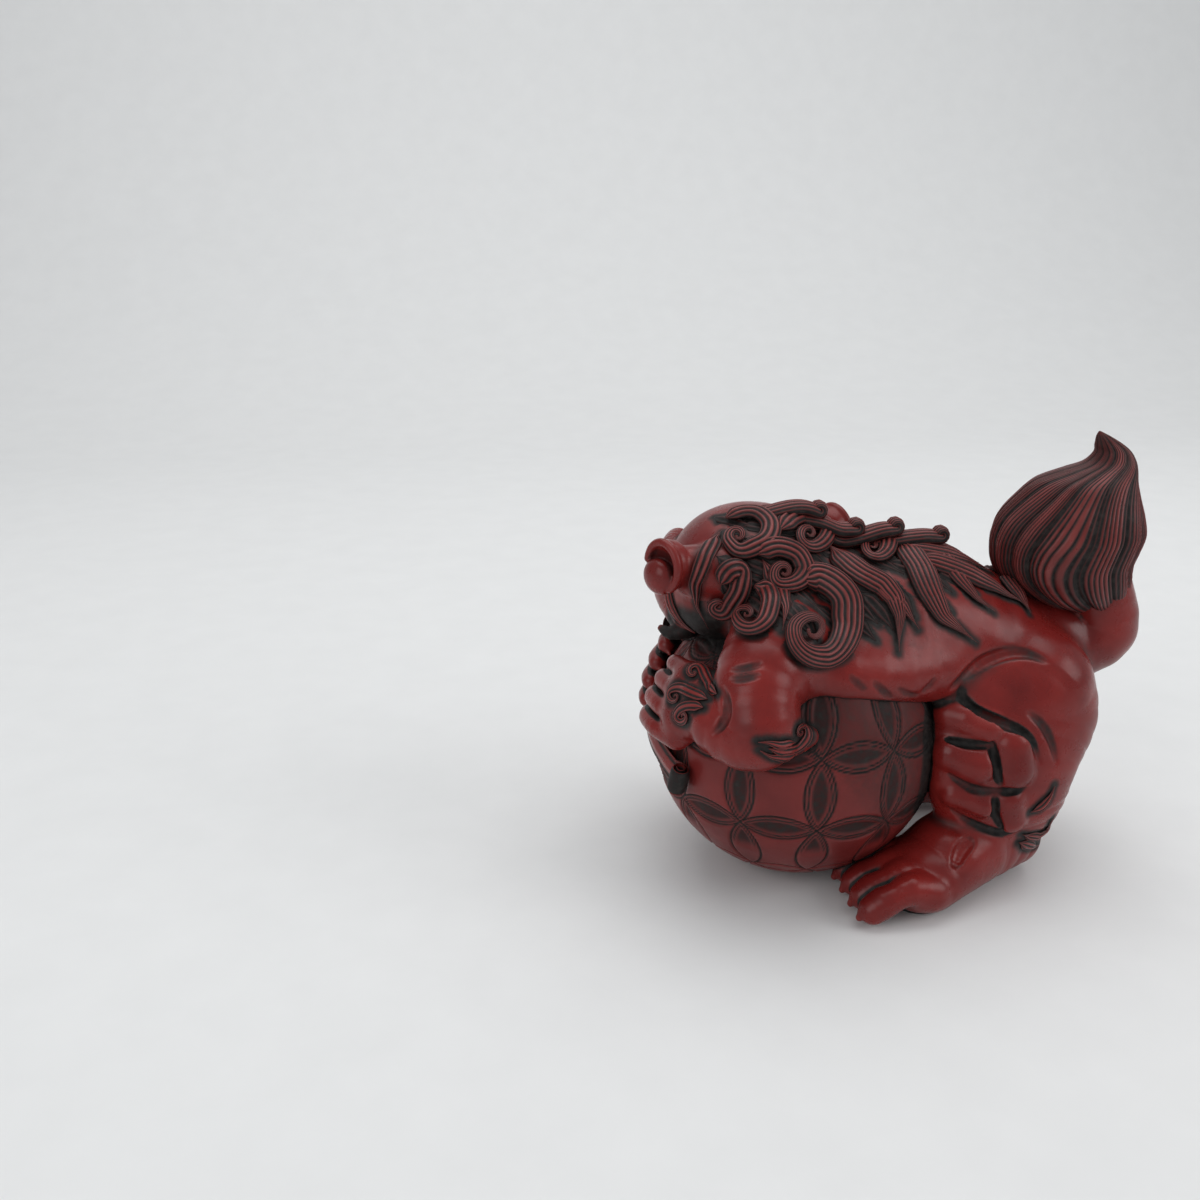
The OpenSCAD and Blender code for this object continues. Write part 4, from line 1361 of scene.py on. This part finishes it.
body_resin = antiqued_resin("body_resin", (0.2, 0.0145, 0.012, 1), (0.125, 0.009, 0.008, 1),
                            (0.23, 0.034, 0.03, 1), 0.28, 0.3)
hair_resin = antiqued_resin("hair_resin", (0.13, 0.015, 0.0135, 1), (0.075, 0.009, 0.0085, 1),
                            (0.24, 0.052, 0.048, 1), 0.3, 0.26)
ball_resin = antiqued_resin("ball_resin", (0.17, 0.0195, 0.018, 1), (0.115, 0.013, 0.012, 1),
                            (0.21, 0.042, 0.04, 1), 0.36, 0.26)

# Every lock laid so far
HAIR = []

# Locks that lie along the spine behind the crest, each (start, end, side step, half width)
SADDLE_LOCKS = [(30, 66, 3.4, 4.4), (34, 76, 9.5, 4.4)]
SADDLE_STEPS = 30


def saddle_lock(x0, x1, y, half):
    x = np.linspace(x0, x1, SADDLE_STEPS)
    names = ["trunk", "tail_stem"]
    at = settle(even(under_on_skin(x, y * (1 + 0.5 * np.linspace(0, 1, SADDLE_STEPS)), names), 0.8))
    n = unit(settle(skin_normal(at, names), 4))
    t = np.linspace(0, 1, len(at))
    return at + n * 0.8, n, np.maximum(half * ramp(-0.02, 0.2, t) * ramp(1.02, 0.45, t), 0.12)


# Mane

COAT = ["trunk", "head", "foreleg_left", "ear_left", "tail_stem"]
for side, far in (("left", False), ("right", True)):
    low_locks = lay_together(straight(fill_paths(), 0.0, 0.2, 0.1, 0.5), COAT, far)
    flames = lay_together(straight(FLAMES, 0.9, 0.2, 0.0, 0.6), COAT, far)
    curls = lay_together(wound(CURLS, 2.1, 0.06), COAT, far)
    backs = [saddle_lock(x0, x1, y if far else -y, half) for x0, x1, y, half in SADDLE_LOCKS]
    HAIR += low_locks + flames + curls + backs
    parts = duller(combed(low_locks, 0.4, hair_resin, 1.7), 0.6)
    parts += combed(flames, 0.55, hair_resin)
    parts += combed(backs, 0.7, hair_resin)
    parts += combed(curls, 0.72, hair_resin)
    make_piece("mane_%s_locks" % side, "mane_" + side, parts, hair_resin)


# Crest: long locks that lie back along the spine, each with its end rolled up

# Where each roll is seen in the photograph, with its half width and the length of its lock
CREST = [((818, 504), 4.8, 23), ((856, 511), 4.9, 25), ((895, 519), 4.9, 28), ((940, 529), 4.8, 30)]
CREST_ROLL_R = 1.25
CREST_ROLL_STEPS = 30


def crest_lock(x, z, half, run):
    """A lock that runs back along the spine and ends in a roll at a place."""
    back = np.linspace(-run, 0, 22)
    at = under_on_skin(x + back, np.zeros(len(back)), ["trunk", "head"])
    rise = np.clip(z - 0.55 * half - at[-1, 2], 0.6, 6.0)
    at[:, 2] += 0.4 + (rise - 0.4) * ramp(-run, 0, back)
    roll = []
    for k in range(1, CREST_ROLL_STEPS + 1):
        a = -math.pi / 2 + k / CREST_ROLL_STEPS * 1.6 * math.pi
        r = CREST_ROLL_R * (1 - 0.45 * k / CREST_ROLL_STEPS)
        roll.append((at[-1, 0] + r * math.cos(a), 0.0, at[-1, 2] + CREST_ROLL_R + r * math.sin(a)))
    p = settle(even(np.concatenate([at, roll]), 0.6), 2)
    n = np.cross(unit(np.gradient(p, axis=0)), [0.0, 1.0, 0.0])
    if n[2, 2] < 0:
        n = -n
    t = np.linspace(0, 1, len(p))
    return p, n, half * np.maximum(ramp(-0.05, 0.2, t), 0.2) * (1 - 0.4 * ramp(0.74, 1.0, t))


rolls = []
for pixel, half, run in CREST:
    spot = seen_at_y(pixel, 0)
    rolls.append(crest_lock(spot[0], spot[2], half, run))
HAIR += rolls
make_piece("crest_rolls", "crest", combed(rolls, 0.62, hair_resin, 1.35, ROLLED_UNDER), hair_resin)


# Tufts on the wrist, the elbow and the heel, and curls on the face

wrist = lay_together(wound(WRIST_CURLS, 0.5, 0.12), ARM)
elbow = lay_together(wound(ELBOW_CURLS, 0.5, 0.12) + straight(ELBOW_FLAMES, 0.5, 0.3, 0.1, 0.6), ARM)
heel = lay_together(straight(HEEL_FLAMES, 0.4, 0.3, 0.1, 0.6), LEG)

# Where lines start outside the head, in its own axes, and the steps of a curl on it
HEAD_CLEAR = 70.0
HEAD_REACH = 75
CURL_STEPS = 60


def head_curl(centre, size, turns, way, half, aim, tail=()):
    """A curl laid on the head, wound in the head's own axes and pressed on along an aim."""
    turn = np.linspace(0, 1, CURL_STEPS)
    a = turn * turns * 2 * math.pi * way
    shrink = np.exp(WIND_IN * turns * turn)
    u = np.concatenate([[t[0] for t in tail], centre[0] + size * shrink * np.cos(a)])
    v = np.concatenate([[t[1] for t in tail], centre[1] + size * shrink * np.sin(a)])
    rows = even(np.stack([u, v, np.concatenate([np.linspace(0.35, 1, len(tail)), shrink])], 1), 0.7)
    aim = np.asarray(aim, float)
    if abs(aim[0]) > 0.5:
        start = np.stack([np.full(len(rows), -HEAD_CLEAR), rows[:, 0], rows[:, 1]], 1)
    else:
        start = np.stack([rows[:, 0], np.full(len(rows), -HEAD_CLEAR * aim[1]), rows[:, 1]], 1)
    way_in = np.tile(HEAD_TURN @ aim, (len(rows), 1))
    at = settle(march(from_head(start), way_in, ["head"], HEAD_REACH), 2)
    n = unit(settle(skin_normal(at, ["head"]), 3))
    return at + n * 0.4, n, np.maximum(half * rows[:, 2], 0.15)


face_curls = []
for s in (-1, 1):
    face_curls.append(head_curl((-18, -2), 5.6, 1.6, 1, 2.4, (0, -s, 0), [(-2, -13), (-6, -10), (-9, -6)]))
    face_curls.append(head_curl((s * 6.6, 9), 4, 1.5, s, 1.7, (1, 0, 0)))
HAIR += wrist + elbow + heel + face_curls


# How near the hair each place on the skin lies

HAIR_POINTS = np.concatenate([lock[0] for lock in HAIR])
HAIR_HALF = np.concatenate([lock[2] for lock in HAIR])
HAIR_TREE = kdtree.KDTree(len(HAIR_POINTS))
for i, point in enumerate(HAIR_POINTS):
    HAIR_TREE.insert(point, i)
HAIR_TREE.balance()
HAIR_LOW = HAIR_POINTS.min(0) - 8
HAIR_HIGH = HAIR_POINTS.max(0) + 8


def hair_shade(points):
    """Dust that gathers beside the locks."""
    out = np.full(len(points), 9.0)
    inside = np.all((points > HAIR_LOW) & (points < HAIR_HIGH), axis=1)
    for i in np.nonzero(inside)[0]:
        _, k, far = HAIR_TREE.find(points[i])
        out[i] = far - 0.8 * HAIR_HALF[k]
    return 0.82 * ramp(4.2, 0.6, out)


def throat_shade(points, cheeks):
    """Painted shade, with some dust, in the hollow between the throat, the arms and the ball, and under the
    cheeks.
    """
    p = (points - np.array([-31.0, -10.0, 82.0])) / np.array([19.0, 24.0, 15.0])
    h = (points - SKULL_AT) @ HEAD_TURN
    cheek = cheeks * ramp(1, -5, h[:, 2]) * ramp(15, 20, np.abs(h[:, 1])) * ramp(-26, -18, h[:, 0])
    return np.maximum(0.95 * ramp(1.1, 0.6, np.linalg.norm(p, axis=1)), 0.8 * cheek)


# Pieces cut from the skin

def over_to_right_paw(lock):
    """A lock of the left paw carried round the ball to the right one."""
    p = lock[0] - [0, 0, BALL_Z]
    off = np.linalg.norm(p, axis=1)
    turn = -np.degrees(np.arctan2(p[:, 1], -p[:, 0])) + RIGHT_PAW_TURN
    lift = np.degrees(np.arcsin(p[:, 2] / off)) - RIGHT_PAW_DROP
    at = np.array([on_ball(t, l, o - BALL_R) for t, l, o in zip(turn, lift, off)])
    return at, unit(settle(skin_normal(at, ["foreleg_right", "paw_right"]), 4)), lock[2]


def over_to_right(lock):
    return tuple(v * [1, -1, 1] if v.ndim == 2 else v for v in lock)


TUFTS = {
    "head": face_curls,
    "paw_left": wrist,
    "paw_right": [l for l in map(over_to_right_paw, wrist) if bare_skin(l[0], ["head", "jaw"]).min() > 2],
    "foreleg_left": elbow,
    "hind_foot_left": heel,
    "hind_foot_right": [over_to_right(l) for l in heel],
}
for name in ORDER:
    broad = name in ("trunk", "tail_stem")
    parts = [limb_piece(name, BROAD if broad else FINE)]
    parts += combed(TUFTS.get(name, []), 0.6, body_resin, 1.1)
    make_piece(name + "_cast", name, parts, body_resin)

# Ball, plume and ribbon
make_piece("ball_carved", "ball_shell", [ball_mesh()], ball_resin)
make_piece("tail_plume_strands", "tail_plume", [plume_mesh()], hair_resin)
make_piece("ribbon_band", "ribbon", [ribbon_mesh()], body_resin)


# Pieces that stay as the part has them and get a finish only

black_felt = plain_finish("black_felt", (0.012, 0.011, 0.011, 1), (0.03, 0.027, 0.026, 1), 900, 0.85, 0, 0.6)
poured_weight = plain_finish("poured_weight", (0.5, 0.47, 0.42, 1), (0.62, 0.59, 0.54, 1), 140, 0.75)
black_rubber = plain_finish("black_rubber", (0.02, 0.02, 0.02, 1), (0.035, 0.034, 0.033, 1), 400, 0.6)
drawn_steel = plain_finish("drawn_steel", (0.5, 0.5, 0.52, 1), (0.62, 0.62, 0.64, 1), 300, 0.3, 1.0)
for name, finish in (
        ("base_felt", black_felt), ("foot_felts", black_felt), ("ball_weight", poured_weight),
        ("ball_stopper", black_rubber), ("dowels", drawn_steel)):
    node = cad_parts[name]
    node.data.materials.clear()
    node.data.materials.append(finish)


# Floor, light and camera

# The paper sweep in metres: its front edge, where it bends up, the bend's radius, its top and half its width
SWEEP_FRONT, SWEEP_BEND, SWEEP_R, SWEEP_TOP, SWEEP_HALF = -3.0, 0.75, 0.6, 3.0, 4.0
SWEEP_STEPS = 18


def studio():
    scene = bpy.context.scene
    profile = [(SWEEP_FRONT, 0.0)]
    for k in range(SWEEP_STEPS + 1):
        a = math.radians(90 * k / SWEEP_STEPS)
        profile.append((SWEEP_BEND + SWEEP_R * math.sin(a), SWEEP_R - SWEEP_R * math.cos(a)))
    profile.append((SWEEP_BEND + SWEEP_R, SWEEP_TOP))
    points, faces = [], []
    for i, (y, z) in enumerate(profile):
        points += [(-SWEEP_HALF, y, z), (SWEEP_HALF, y, z)]
        if i:
            k = 2 * i
            faces.append((k - 2, k - 1, k + 1, k))
    mesh = bpy.data.meshes.new("paper_sweep")
    mesh.from_pydata(points, [], faces)
    mesh.shade_smooth()
    sweep = bpy.data.objects.new("paper_sweep", mesh)
    scene.collection.objects.link(sweep)
    paper = Finish("pale_paper")
    grain = paper.stretch(paper.noise(40, 3), 0.3, 0.7)
    tone = paper.mix(grain, (0.76, 0.765, 0.765, 1), (0.78, 0.785, 0.785, 1))
    paper.give({"Base Color": tone, "Roughness": 0.75, "Specular IOR Level": 0.2})
    mesh.materials.append(paper.material)

    def lamp(name, at, aim, size, power):
        data = bpy.data.lights.new(name, "AREA")
        data.shape = "RECTANGLE"
        data.size, data.size_y = size
        data.energy = power
        obj = bpy.data.objects.new(name, data)
        scene.collection.objects.link(obj)
        obj.location = at
        obj.rotation_euler = (Vector(aim) - Vector(at)).to_track_quat("-Z", "Y").to_euler()

    lamp("overhead_softbox", (0.1, 0.3, 1.3), (0.05, 0.1, 0.05), (1.5, 1.2), 10.5)
    lamp("left_softbox", (-1.1, -0.8, 0.7), (0.0, 0.0, 0.08), (0.9, 0.9), 5)
    lamp("right_softbox", (1.2, -0.6, 0.8), (0.03, 0.0, 0.08), (0.8, 0.8), 5.5)
    world = bpy.data.worlds.new("studio_room")
    scene.world = world
    world.use_nodes = True
    sky = world.node_tree.nodes["Background"]
    sky.inputs["Color"].default_value = (0.9, 0.92, 0.94, 1)
    sky.inputs["Strength"].default_value = 0.44
    data = bpy.data.cameras.new("photo_camera")
    data.sensor_width = 36
    data.lens = 36
    camera = bpy.data.objects.new("photo_camera", data)
    scene.collection.objects.link(camera)
    camera.location = VIEW_AT / 1000
    camera.rotation_euler = (math.pi / 2 - VIEW_PITCH, 0, -VIEW_TURN)
    scene.camera = camera
    scene.view_settings.view_transform = "Standard"


studio()
